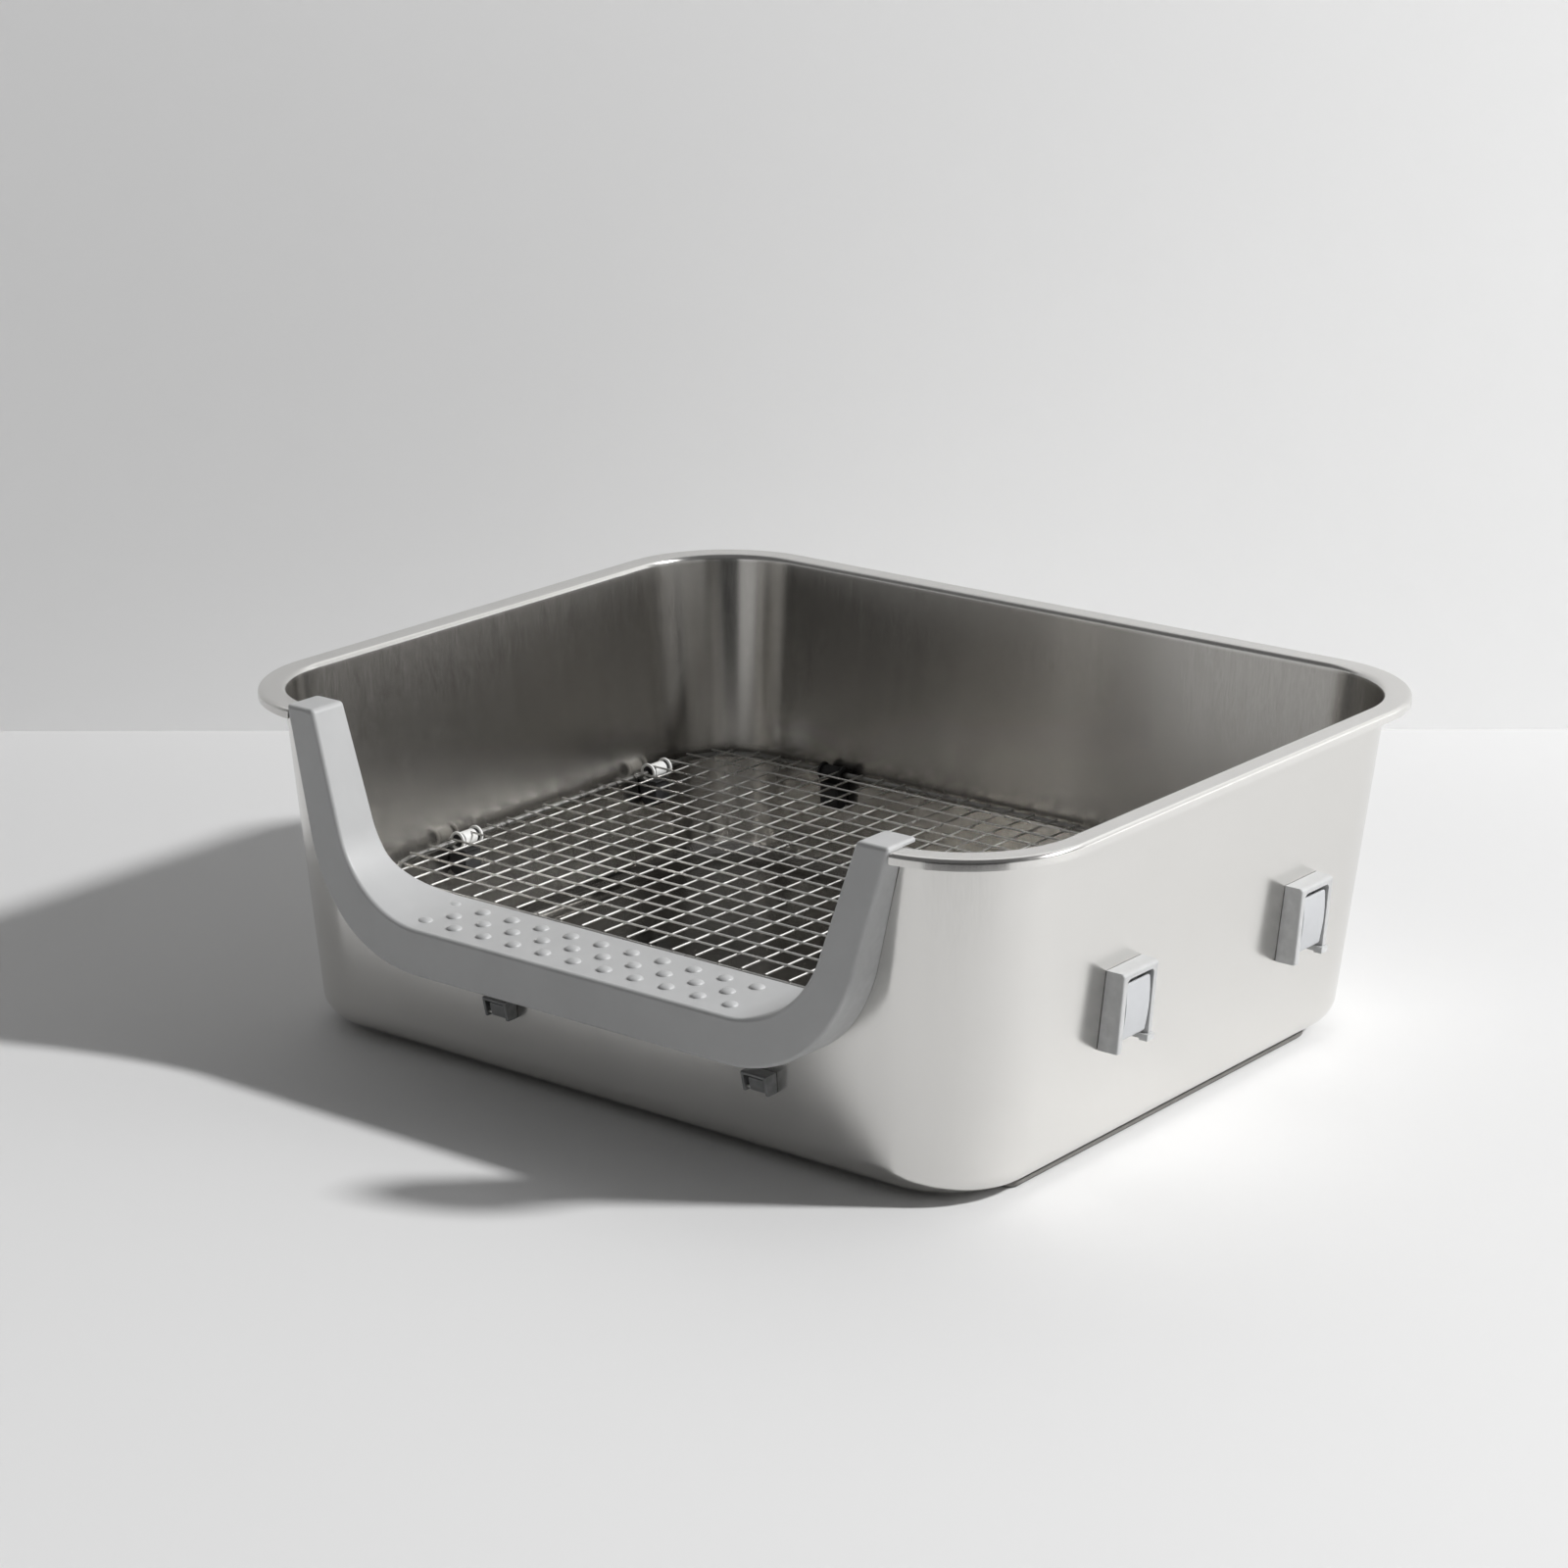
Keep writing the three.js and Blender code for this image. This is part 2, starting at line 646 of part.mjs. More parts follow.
function gridMesh() {
  const top = meshFoot + meshWire;
  const border = meshWire / 2;
  const outer = planRing(gridSide + border, gridHalfWidth + border, gridCornerRadius + border, 0);
  const inner = planRing(gridSide - border, gridHalfWidth - border, gridCornerRadius - border, 0);
  const slab = (ring, from, to) =>
    loft([from, to].map((z) => ring.map((p) => new THREE.Vector3(p.x, p.y, z))));
  const edge = cut(slab(outer, meshFoot, top), slab(inner, meshFoot - overrun, top + overrun));
  const spread = (count, half) =>
    Array.from({ length: count - 1 }, (_, i) => half * ((2 * (i + 1)) / count - 1));
  const along = spread(meshColumns, gridSide).map((x) =>
    box(x - border, x + border, -gridHalfWidth, gridHalfWidth, meshFoot, top),
  );
  const across = spread(meshRows, gridHalfWidth).map((y) =>
    box(-gridSide, gridSide, y - border, y + border, meshFoot, top),
  );
  const wires = join(...along, ...across).intersect(slab(outer, meshFoot, top));
  const seats = clipPlaces.map(({ wall, x, y }) => {
    const long = clipLength / 2 + gap;
    const wide = clipReach + gap;
    const [halfX, halfY] = wall === "back" ? [long, wide] : [wide, long];
    const middleY = y - gridMiddleY;
    const seat = box(-halfX, halfX, -halfY, halfY, meshFoot - overrun, top + overrun);
    return seat.translate([x, middleY, 0]);
  });
  return cut(join(edge, wires), ...seats).translate([0, gridMiddleY, 0]);
}

// A clip: a sleeve round the frame rod, with a raised cheek at each end
function gridClip() {
  const cheekAt = (clipLength - clipCheek) / 2;
  const sleeve = rodAlongY(clipHalf, clipLength, 0, 0);
  const cheek = rodAlongY(clipReach, clipCheek, 0, 0);
  return cut(
    join(sleeve, cheek.translate([0, cheekAt, 0]), cheek.translate([0, -cheekAt, 0])),
    rodAlongY(frameRod / 2 + gap, clipLength + overrun, 0, 0, rodSides),
  );
}

// A rubber pad under a clip, its outer face lying on the tray's sloping wall
function gridPad(wallGap) {
  const wallAt = (z) => wallGap - gap + (wallTaper / trayHeight) * z;
  const top = -clipReach - gap;
  const foot = top - padHeight;
  const outline = [
    [-padInner, top],
    [wallAt(top), top],
    [wallAt(foot + padChamfer), foot + padChamfer],
    [wallAt(foot) - padChamfer, foot],
    [-padInner + padChamfer, foot],
    [-padInner, foot + padChamfer],
  ];
  return prism(outline, -padLength / 2, padLength / 2);
}

// The steel tray: one drawn sheet, cut away at the front for the entry
function trayShell() {
  const rings = traySection().map(([inset, z]) => {
    const radius = rimCornerRadius - cornerTighteningShare * inset;
    const back = frontShift(z);
    return planRing(rimLength / 2 - inset, rimWidth / 2 - inset - back, radius, z, back);
  });
  const outside = -rimWidth / 2 - overrun;
  const aboveRim = trayHeight + overrun;
  const entry = prism(guardCurve(guardWall + gap, aboveRim), outside, frontWallY(0) + sheet + overrun);
  const legOuter = legPoint(bandAtLegTop, 1, 1, trayHeight)[0] + gap;
  const underRim = trayHeight - rimDrop - gap;
  const rimNotch = box(-legOuter, legOuter, outside, frontWallY(trayHeight), underRim, aboveRim);
  return cut(loft(rings), entry, rimNotch);
}

function footStrip() {
  const half = footWidth / 2;
  const plan = (inset, z) => planRing(half - inset, footLength / 2 - inset, half - inset - gap, z);
  const bevel = gap;
  return loft([plan(bevel, -footHeight), plan(0, bevel - footHeight), plan(0, -gap)]);
}

// The assembly: the tray's own frame has its origin in the middle of its underside
const frontReach = -guardFaceY(sillHeight - bandAtSill + guardEdge);
const tray = new THREE.Group();
tray.position.set(0, (frontReach - rimWidth / 2) / 2, footHeight);

function place(parent, name, solid, material) {
  const mesh = new THREE.Mesh(geometryOf(solid), material);
  mesh.name = name;
  parent.add(mesh);
}

function groupAt(x, y, z, turn) {
  const group = new THREE.Group();
  group.position.set(x, y, z);
  group.rotation.z = turn;
  tray.add(group);
  return group;
}

const latchSets = [
  { name: "latch_right_front", latch: sideLatch, frame: wallFrames.right, along: sideLatchAlong[0], hand: 1 },
  { name: "latch_right_back", latch: sideLatch, frame: wallFrames.right, along: sideLatchAlong[1], hand: 1 },
  { name: "latch_left_front", latch: sideLatch, frame: wallFrames.left, along: -sideLatchAlong[0], hand: -1 },
  { name: "latch_left_back", latch: sideLatch, frame: wallFrames.left, along: -sideLatchAlong[1], hand: -1 },
  { name: "catch_left", latch: frontCatch, frame: wallFrames.front, along: frontCatchAlong[0], hand: 1 },
  { name: "catch_right", latch: frontCatch, frame: wallFrames.front, along: frontCatchAlong[1], hand: 1 },
];

place(tray, "tray_shell", trayShell(), steel);
place(tray, "entry_guard", entryGuard(), greyPlastic);

latchSets.forEach(({ name, latch, frame, along, hand }) => {
  const wall = groupAt(frame.x, frame.y, 0, frame.turn);
  const spot = new THREE.Group();
  spot.position.y = along;
  wall.add(spot);
  const small = latch === frontCatch;
  place(spot, name + "_housing", latchHousing(latch, hand), small ? darkPlastic : greyPlastic);
  place(spot, name + "_lever", latchLever(latch, hand), small ? darkPlastic : palePlastic);
  place(spot, name + "_pin", latchPin(latch), wireSteel);
  place(spot, name + "_stud", latchStud(latch), wireSteel);
});

place(tray, "grid_frame", gridFrame(), wireSteel);
place(tray, "grid_mesh", gridMesh(), wireSteel);

clipPlaces.forEach(({ wall, x, y }, i) => {
  const spot = groupAt(x, y, gridHeight, wallFrames[wall].turn);
  const wallGap = wall === "back" ? gridBackGap : gridWallGap;
  place(spot, "grid_clip_" + (i + 1), gridClip(), wall === "back" ? blackRubber : whitePlastic);
  place(spot, "grid_pad_" + (i + 1), gridPad(wallGap), blackRubber);
});

const footX = rimLength / 2 - footInset - footWidth / 2;
[["foot_strip_right", footX], ["foot_strip_left", -footX]].forEach(([name, x]) => {
  place(groupAt(x, 0, 0, 0), name, footStrip(), greyRubber);
});

const litterTray = new THREE.Group();
litterTray.add(tray);
export default litterTray;
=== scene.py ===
# Small animal litter tray: the finished look of its steel tray, moulded entry guard, wire grid and
# latches, on a pale floor in soft studio light. Metres, +Z up, in the same frame as the solids.
import math

import bmesh
import bpy
from bmesh.types import BMEdge, BMVert
from mathutils import Matrix, Vector


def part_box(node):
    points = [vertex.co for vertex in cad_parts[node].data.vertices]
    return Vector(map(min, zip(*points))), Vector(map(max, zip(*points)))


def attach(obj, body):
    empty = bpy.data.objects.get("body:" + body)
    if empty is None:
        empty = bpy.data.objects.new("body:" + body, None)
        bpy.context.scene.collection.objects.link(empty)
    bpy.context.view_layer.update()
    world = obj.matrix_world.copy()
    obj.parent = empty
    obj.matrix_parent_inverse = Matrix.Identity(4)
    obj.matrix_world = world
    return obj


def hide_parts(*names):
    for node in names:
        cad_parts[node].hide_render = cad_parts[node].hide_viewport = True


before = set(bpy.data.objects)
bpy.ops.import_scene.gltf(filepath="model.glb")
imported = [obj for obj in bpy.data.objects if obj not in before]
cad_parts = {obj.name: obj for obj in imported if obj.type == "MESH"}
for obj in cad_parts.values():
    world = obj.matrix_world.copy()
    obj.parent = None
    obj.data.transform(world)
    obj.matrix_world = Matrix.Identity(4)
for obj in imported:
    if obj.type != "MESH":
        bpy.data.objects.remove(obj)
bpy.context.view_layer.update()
scene = bpy.context.scene
scene.view_settings.view_transform = "Standard"

# The camera, at the photograph's place and angle
CAMERA_PLACE = (1.10465, -1.43039, 0.67351)
CAMERA_AZIMUTH = math.radians(38.320)
CAMERA_ELEVATION = math.radians(17.248)
CAMERA_ROLL = math.radians(0.075)
CAMERA_LENS = 95.91
CAMERA_SENSOR = 36.0

# The drawn steel tray
RIM_WIDTH = 0.366
RIM_CORNER = 0.061
CORNER_TIGHTENING = 0.75
FLANGE = 0.0104
WALL_TAPER = 0.017
FRONT_SETBACK = 0.0065
FRONT_TAPER = WALL_TAPER - FRONT_SETBACK
SHEET = 0.0012
BOTTOM_RADIUS = 0.012
RIM_ROLL = 0.0025
RIM_EDGE_RADIUS = 0.0019
RIM_DROP = 0.0046

# The moulded entry guard
SILL_HEIGHT = 0.070
SILL_HALF = 0.0863
SILL_CORNER = 0.049
LEG_FLARE = math.radians(17.85)
GUARD_PROUD_AT_SILL = 0.0214
GUARD_PROUD_AT_TOP = 0.0109
GUARD_WALL = 0.0024
BAND_AT_SILL = 0.0212
BAND_AT_LEG_FOOT = 0.0184
BAND_AT_LEG_TOP = 0.0155
BAND_EASE_SHARE = 0.35
SILL_REACH = 0.0255
LEG_REACH_AT_FOOT = 0.0045
LEG_REACH_AT_TOP = 0.008
REACH_EASE_SHARE = 0.8
INNER_LIP = 0.009
GUARD_EDGE = 0.0019
GUARD_EDGE_STEPS = 5
CAP_THICKNESS = 0.002

# The tread bumps on the sill
BUMP_RADIUS = 0.0035
BUMP_HEIGHT = 0.0015
BUMP_PITCH = 0.0172
BUMP_ROW_PITCH = 0.0117
BUMP_SHIFT = -0.0061
BUMP_ROW_SHIFT = -0.0022
BUMPS_IN_OUTER_ROW = 11
BUMP_ROWS = 3
BUMP_EDGE = 0.012

# The wire grid, its clips and its wall pads
FRAME_ROD = 0.0028
MESH_WIRE = 0.0010
MESH_COLUMNS = 29
MESH_ROWS = 19
WELDED_LAYER_SHARE = 0.8
GRID_CORNER = 0.032
CLIP_LENGTH = 0.014
CLIP_WALL = 0.0018
CLIP_CHEEK = 0.0013
CHEEK_RISE = 0.001
CLIP_OPENING = math.radians(70)
SADDLE_LENGTH_SHARE = 0.6
BUSH_LENGTH_SHARE = 0.94
SADDLE_EDGE = 0.0003
BUSH_EDGE = 0.0002
SIDE_WALL_GAP = 0.008
BACK_WALL_GAP = 0.006
PAD_LENGTH = 0.011
PAD_INNER = 0.004
PAD_HEIGHT = 0.013
PAD_CHAMFER = 0.002
PAD_EDGE = 0.0005

# The rubber foot strips
FOOT_TREAD = 0.0008
FOOT_CHAMFER = 0.0006
RIB_WIDTH_SHARE = 0.2
RIB_PITCH_SHARE = 0.55

# The side latches and the small front catches: both a housing, a lever, a pin and a weld stud
SIDE_LATCH = {
    "taper": WALL_TAPER, "width": 0.026, "bottom": 0.049, "top": 0.085,
    "proud_at_top": 0.0092, "proud_at_bottom": 0.0102, "bevel_out": 0.0016, "bevel_down": 0.001,
    "side": 0.0032, "back": 0.0010, "top_bar": 0.0032, "lever_top_gap": 0.0025,
    "lever_near_gap": 0.0006, "lever_far_gap": 0.0013, "lever_thick": 0.0012, "bulge": 0.0009,
    "recess": 0.0009, "barrel": 0.0022, "pin": 0.0011, "pin_up": 0.0064,
    "heel_width": 0.005, "heel_height": 0.003, "heel_proud": 0.001, "heel_depth": 0.003,
    "stud": 0.0019, "head": 0.0036, "head_height": 0.001,
    "arch": 0.0022, "outer_edge": 0.0009, "fine_edge": 0.0004,
}
FRONT_CATCH = {
    "taper": FRONT_TAPER, "width": 0.0135, "bottom": 0.031, "top": 0.0402,
    "proud_at_top": 0.0079, "proud_at_bottom": 0.0064, "bevel_out": 0.0006, "bevel_down": 0.0005,
    "side": 0.0014, "back": 0.0012, "top_bar": 0.0014, "lever_top_gap": 0.0006,
    "lever_near_gap": 0.0024, "lever_far_gap": 0.0004, "lever_thick": 0.0016, "bulge": 0.0003,
    "recess": 0.0005, "barrel": 0.0013, "pin": 0.00065, "pin_up": 0.002,
    "heel_height": 0.0, "stud": 0.001, "head": 0.0018, "head_height": 0.0007,
    "arch": 0.0006, "outer_edge": 0.0004, "fine_edge": 0.00025,
}

# Clearances and steps
GAP = 0.0003
OVERRUN = 0.005
MERGE = GAP / 100
CLOSE = GAP / 10
CORNER_STEPS = 20
FILLET_STEPS = 8
SHARP = math.radians(32)

# The finishes: a darker and a lighter colour each, roughness ranges, grain scales and bump depths
STEEL_OUTSIDE = ((0.735, 0.725, 0.703), (0.76, 0.75, 0.73))
# The inside colour is painted shade: the same steel, darker where it faces into the tray
STEEL_INSIDE_PAINTED_SHADE = ((0.535, 0.52, 0.493), (0.565, 0.55, 0.525))
STEEL_ROUGHNESS = (0.19, 0.26)
STEEL_STREAK = 0.012
POLISHED_FLOOR_SHARE = 0.5
STEEL_ANISOTROPY = 0.6
HIGHLIGHT_TURN = 0.25
BRUSHED_DEPTH = 0.000003
WIRE_ROUGHNESS = (0.22, 0.36)
WIRE_GRAIN = 1500.0
WIRE_DEPTH = 0.00001
BRIGHT_WIRE = ((0.74, 0.73, 0.71), (0.84, 0.83, 0.81))
DULL_ROD = ((0.30, 0.295, 0.285), (0.38, 0.375, 0.365))
MOULDED_GRAIN = 2600.0
MOULDED_DEPTH = 0.000012
RUBBER_GRAIN = 900.0
RUBBER_DEPTH = 0.00004
LINE_STRETCH = (1, 1, 0.006)
STREAK_STRETCH = (1, 1, 0.05)
STREAK_SCALE = 130.0
CLOUD_SCALE = 7.0
UNEVEN_SCALE = 38.0
WEAR_SCALE = 240.0

# The tray's own place, worked out from the frame
shell_low, shell_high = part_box("tray_shell")
RIM_LENGTH = shell_high.x - shell_low.x
TRAY_HEIGHT = shell_high.z - shell_low.z
TRAY_PLACE = Matrix.Translation((0, shell_high.y - RIM_WIDTH / 2, shell_low.z))


def make_camera():
    data = bpy.data.cameras.new("camera")
    data.lens = CAMERA_LENS
    data.sensor_width = CAMERA_SENSOR
    camera = bpy.data.objects.new("camera", data)
    scene.collection.objects.link(camera)
    tilt = Matrix.Rotation(math.pi / 2 - CAMERA_ELEVATION, 4, "X")
    turn = Matrix.Rotation(CAMERA_AZIMUTH, 4, "Z")
    roll = Matrix.Rotation(-CAMERA_ROLL, 4, "Z")
    camera.matrix_world = Matrix.Translation(CAMERA_PLACE) @ turn @ tilt @ roll
    scene.camera = camera


# Shader helpers
def set_socket(node, name, value):
    node.inputs[name].default_value = value


def new_group(name, inputs, outputs):
    """An empty shader node group with float and colour sockets, and its two ends."""
    group = bpy.data.node_groups.new(name, "ShaderNodeTree")
    for label, kind, default in inputs:
        socket = group.interface.new_socket(label, in_out="INPUT", socket_type=kind)
        if default is not None:
            socket.default_value = default
    for label, kind in outputs:
        group.interface.new_socket(label, in_out="OUTPUT", socket_type=kind)
    return group, group.nodes.new("NodeGroupInput"), group.nodes.new("NodeGroupOutput")


def noise_node(tree, vector, scale, detail=4.0, roughness=0.55):
    noise = tree.nodes.new("ShaderNodeTexNoise")
    set_socket(noise, "Detail", detail)
    set_socket(noise, "Roughness", roughness)
    if isinstance(scale, (int, float)):
        set_socket(noise, "Scale", scale)
    else:
        tree.links.new(scale, noise.inputs["Scale"])
    tree.links.new(vector, noise.inputs["Vector"])
    return noise.outputs["Fac"]


def map_node(tree, value, from_low, from_high, to_low, to_high):
    """A value moved from one range to another, and held inside the new one."""
    node = tree.nodes.new("ShaderNodeMapRange")
    for socket, amount in zip(node.inputs[1:5], (from_low, from_high, to_low, to_high)):
        if isinstance(amount, (int, float)):
            socket.default_value = amount
        else:
            tree.links.new(amount, socket)
    tree.links.new(value, node.inputs["Value"])
    return node.outputs["Result"]


def math_node(tree, operation, a, b):
    node = tree.nodes.new("ShaderNodeMath")
    node.operation = operation
    for socket, amount in zip(node.inputs, (a, b)):
        if isinstance(amount, (int, float)):
            socket.default_value = amount
        else:
            tree.links.new(amount, socket)
    return node.outputs["Value"]


def mix_colour(tree, share, a, b):
    node = tree.nodes.new("ShaderNodeMix")
    node.data_type = "RGBA"
    tree.links.new(share, node.inputs["Factor"])
    for socket, colour in zip((node.inputs[6], node.inputs[7]), (a, b)):
        if isinstance(colour, tuple):
            socket.default_value = (*colour, 1)
        else:
            tree.links.new(colour, socket)
    return node.outputs[2]


def stretched(tree, vector, stretch):
    node = tree.nodes.new("ShaderNodeMapping")
    set_socket(node, "Scale", stretch)
    tree.links.new(vector, node.inputs["Vector"])
    return node.outputs["Vector"]


def brushed_lines_group():
    """Fine upright polishing lines, broader streaks among them, and slow cloudy patches."""
    group, start, end = new_group(
        "brushed_lines",
        [("Vector", "NodeSocketVector", None), ("Fineness", "NodeSocketFloat", 1700.0)],
        [("Lines", "NodeSocketFloat"), ("Streaks", "NodeSocketFloat"), ("Clouds", "NodeSocketFloat")],
    )
    place = start.outputs["Vector"]
    drawn = stretched(group, place, LINE_STRETCH)
    fine = noise_node(group, drawn, start.outputs["Fineness"], 2.0, 0.6)
    group.links.new(map_node(group, fine, 0.25, 0.75, 0.0, 1.0), end.inputs["Lines"])
    broad = noise_node(group, stretched(group, place, STREAK_STRETCH), STREAK_SCALE, 3.0)
    group.links.new(map_node(group, broad, 0.3, 0.7, 0.0, 1.0), end.inputs["Streaks"])
    slow = noise_node(group, place, CLOUD_SCALE, 3.0)
    group.links.new(map_node(group, slow, 0.3, 0.7, 0.0, 1.0), end.inputs["Clouds"])
    return group


def facing_in_group():
    """1 on faces that look towards an upright axis through Middle, 0 on faces that look away."""
    group, start, end = new_group(
        "facing_in",
        [("Vector", "NodeSocketVector", None), ("Middle", "NodeSocketVector", None)],
        [("Inside", "NodeSocketFloat")],
    )
    away = group.nodes.new("ShaderNodeVectorMath")
    away.operation = "SUBTRACT"
    group.links.new(start.outputs["Vector"], away.inputs[0])
    group.links.new(start.outputs["Middle"], away.inputs[1])
    level = group.nodes.new("ShaderNodeVectorMath")
    level.operation = "MULTIPLY"
    group.links.new(away.outputs["Vector"], level.inputs[0])
    level.inputs[1].default_value = (1, 1, 0)
    facing = group.nodes.new("ShaderNodeVectorMath")
    facing.operation = "DOT_PRODUCT"
    group.links.new(level.outputs["Vector"], facing.inputs[0])
    group.links.new(group.nodes.new("ShaderNodeNewGeometry").outputs["Normal"], facing.inputs[1])
    inside = map_node(group, facing.outputs["Value"], -0.03, 0.03, 1.0, 0.0)
    group.links.new(inside, end.inputs["Inside"])
    return group


def fine_grain_group():
    """The fine spark texture of a moulding tool: small grain and a soft unevenness."""
    group, start, end = new_group(
        "fine_grain",
        [("Vector", "NodeSocketVector", None), ("Grain", "NodeSocketFloat", 2600.0)],
        [("Grain", "NodeSocketFloat"), ("Unevenness", "NodeSocketFloat")],
    )
    grain = noise_node(group, start.outputs["Vector"], start.outputs["Grain"], 2.0, 0.6)
    slow = noise_node(group, start.outputs["Vector"], UNEVEN_SCALE, 3.0)
    group.links.new(map_node(group, grain, 0.3, 0.7, 0.0, 1.0), end.inputs["Grain"])
    group.links.new(map_node(group, slow, 0.3, 0.7, 0.0, 1.0), end.inputs["Unevenness"])
    return group


def worn_and_highlit_edges_group():
    """How much an edge is lightened by wear and painted highlight: strong on outside corners, broken up
    by noise.
    """
    group, start, end = new_group(
        "edge_wear_and_highlight",
        [("Vector", "NodeSocketVector", None), ("Amount", "NodeSocketFloat", 1.0)],
        [("Wear", "NodeSocketFloat")],
    )
    geometry = group.nodes.new("ShaderNodeNewGeometry")
    edge = map_node(group, geometry.outputs["Pointiness"], 0.51, 0.58, 0.0, 1.0)
    spots = noise_node(group, start.outputs["Vector"], WEAR_SCALE)
    patchy = map_node(group, spots, 0.35, 0.65, 0.25, 1.0)
    rubbed_and_highlit = math_node(group, "MULTIPLY", edge, patchy)
    wear = math_node(group, "MULTIPLY", rubbed_and_highlit, start.outputs["Amount"])
    group.links.new(wear, end.inputs["Wear"])
    return group


BRUSHED_LINES = brushed_lines_group()
FACING_IN = facing_in_group()
FINE_GRAIN = fine_grain_group()
EDGE_WEAR_AND_HIGHLIGHT = worn_and_highlit_edges_group()


def new_material(name):
    """A material with its Principled shader and its object coordinates."""
    material = bpy.data.materials.new(name)
    material.use_nodes = True
    tree = material.node_tree
    shader = tree.nodes["Principled BSDF"]
    place = tree.nodes.new("ShaderNodeTexCoord").outputs["Object"]
    return material, tree, shader, place


def use_group(tree, group, vector, **values):
    node = tree.nodes.new("ShaderNodeGroup")
    node.node_tree = group
    tree.links.new(vector, node.inputs["Vector"])
    for name, value in values.items():
        node.inputs[name].default_value = value
    return node.outputs


def bump(tree, shader, height, distance):
    node = tree.nodes.new("ShaderNodeBump")
    set_socket(node, "Distance", distance)
    set_socket(node, "Strength", 1.0)
    tree.links.new(height, node.inputs["Height"])
    tree.links.new(node.outputs["Normal"], shader.inputs["Normal"])


def steel_sheet():
    """Satin stainless steel: fine upright lines on the walls, painted shade that darkens the inside
    below the rim, polished on the floor.
    """
    material, tree, shader, place = new_material("satin_stainless_steel")
    set_socket(shader, "Metallic", 1.0)
    lines = use_group(tree, BRUSHED_LINES, place)
    middle = TRAY_PLACE.translation
    inside = use_group(tree, FACING_IN, place, Middle=tuple(middle))["Inside"]
    split = tree.nodes.new("ShaderNodeSeparateXYZ")
    tree.links.new(place, split.inputs["Vector"])
    height = split.outputs["Z"]
    floor_top = shell_low.z + BOTTOM_RADIUS
    rim_foot = shell_high.z - RIM_ROLL
    wall = map_node(tree, height, floor_top - BOTTOM_RADIUS / 2, floor_top, 0.0, 1.0)
    rim = map_node(tree, height, rim_foot - RIM_ROLL / 2, rim_foot, 0.0, 1.0)
    satin = map_node(tree, lines["Lines"], 0.0, 1.0, *STEEL_ROUGHNESS)
    streaks = map_node(tree, lines["Streaks"], 0.0, 1.0, -STEEL_STREAK, STEEL_STREAK)
    streaked = math_node(tree, "ADD", satin, streaks)
    duller = map_node(tree, wall, 0.0, 1.0, POLISHED_FLOOR_SHARE, 1.0)
    tree.links.new(math_node(tree, "MULTIPLY", streaked, duller), shader.inputs["Roughness"])
    outer = mix_colour(tree, lines["Clouds"], *STEEL_OUTSIDE)
    inner = mix_colour(tree, lines["Clouds"], *STEEL_INSIDE_PAINTED_SHADE)
    # Painted shade: faces that look into the tray, below the rim, take the darker inside colour
    dull = math_node(tree, "MULTIPLY", inside, math_node(tree, "SUBTRACT", 1.0, rim))
    tree.links.new(mix_colour(tree, dull, outer, inner), shader.inputs["Base Color"])
    bump(tree, shader, lines["Lines"], BRUSHED_DEPTH)
    set_socket(shader, "Anisotropic", STEEL_ANISOTROPY)
    set_socket(shader, "Anisotropic Rotation", HIGHLIGHT_TURN)
    round_tray = tree.nodes.new("ShaderNodeTangent")
    round_tray.direction_type = "RADIAL"
    round_tray.axis = "Z"
    tree.links.new(round_tray.outputs["Tangent"], shader.inputs["Tangent"])
    return material


def drawn_wire(name, dark, light):
    """Drawn wire, a little duller in patches."""
    material, tree, shader, place = new_material(name)
    set_socket(shader, "Metallic", 1.0)
    grain = use_group(tree, FINE_GRAIN, place, Grain=WIRE_GRAIN)
    rough = map_node(tree, grain["Unevenness"], 0.0, 1.0, *WIRE_ROUGHNESS)
    tree.links.new(rough, shader.inputs["Roughness"])
    tree.links.new(mix_colour(tree, grain["Grain"], dark, light), shader.inputs["Base Color"])
    bump(tree, shader, grain["Grain"], WIRE_DEPTH)
    return material


def moulded(name, colour, wear_and_highlight_colour, roughness, grain=MOULDED_GRAIN, depth=MOULDED_DEPTH, wear=0.5):
    """A moulded piece: a colour with slight unevenness, lighter edges from wear and painted highlight,
    and a fine grain.
    """
    material, tree, shader, place = new_material(name)
    texture = use_group(tree, FINE_GRAIN, place, Grain=grain)
    rubbed_and_highlit = use_group(tree, EDGE_WEAR_AND_HIGHLIGHT, place, Amount=wear)["Wear"]
    shade = tuple(0.94 * c for c in colour)
    base = mix_colour(tree, texture["Unevenness"], shade, colour)
    tree.links.new(mix_colour(tree, rubbed_and_highlit, base, wear_and_highlight_colour), shader.inputs["Base Color"])
    satin = map_node(tree, texture["Grain"], 0.0, 1.0, roughness - 0.04, roughness + 0.05)
    tree.links.new(satin, shader.inputs["Roughness"])
    bump(tree, shader, texture["Grain"], depth)
    return material


STEEL = steel_sheet()
WIRE = drawn_wire("bright_wire", *BRIGHT_WIRE)
ROD = drawn_wire("dull_rod", *DULL_ROD)
GREY = moulded("grey_moulding", (0.49, 0.494, 0.496), (0.60, 0.604, 0.606), 0.42)
# The latch moulding's much lighter edge colour is partly painted highlight, on rounded edges that catch
# the key light
CASE = moulded("latch_moulding", (0.485, 0.49, 0.492), (0.68, 0.684, 0.686), 0.38, wear=0.5)
PALE = moulded("pale_blue_grey_moulding", (0.51, 0.52, 0.535), (0.60, 0.61, 0.625), 0.38)
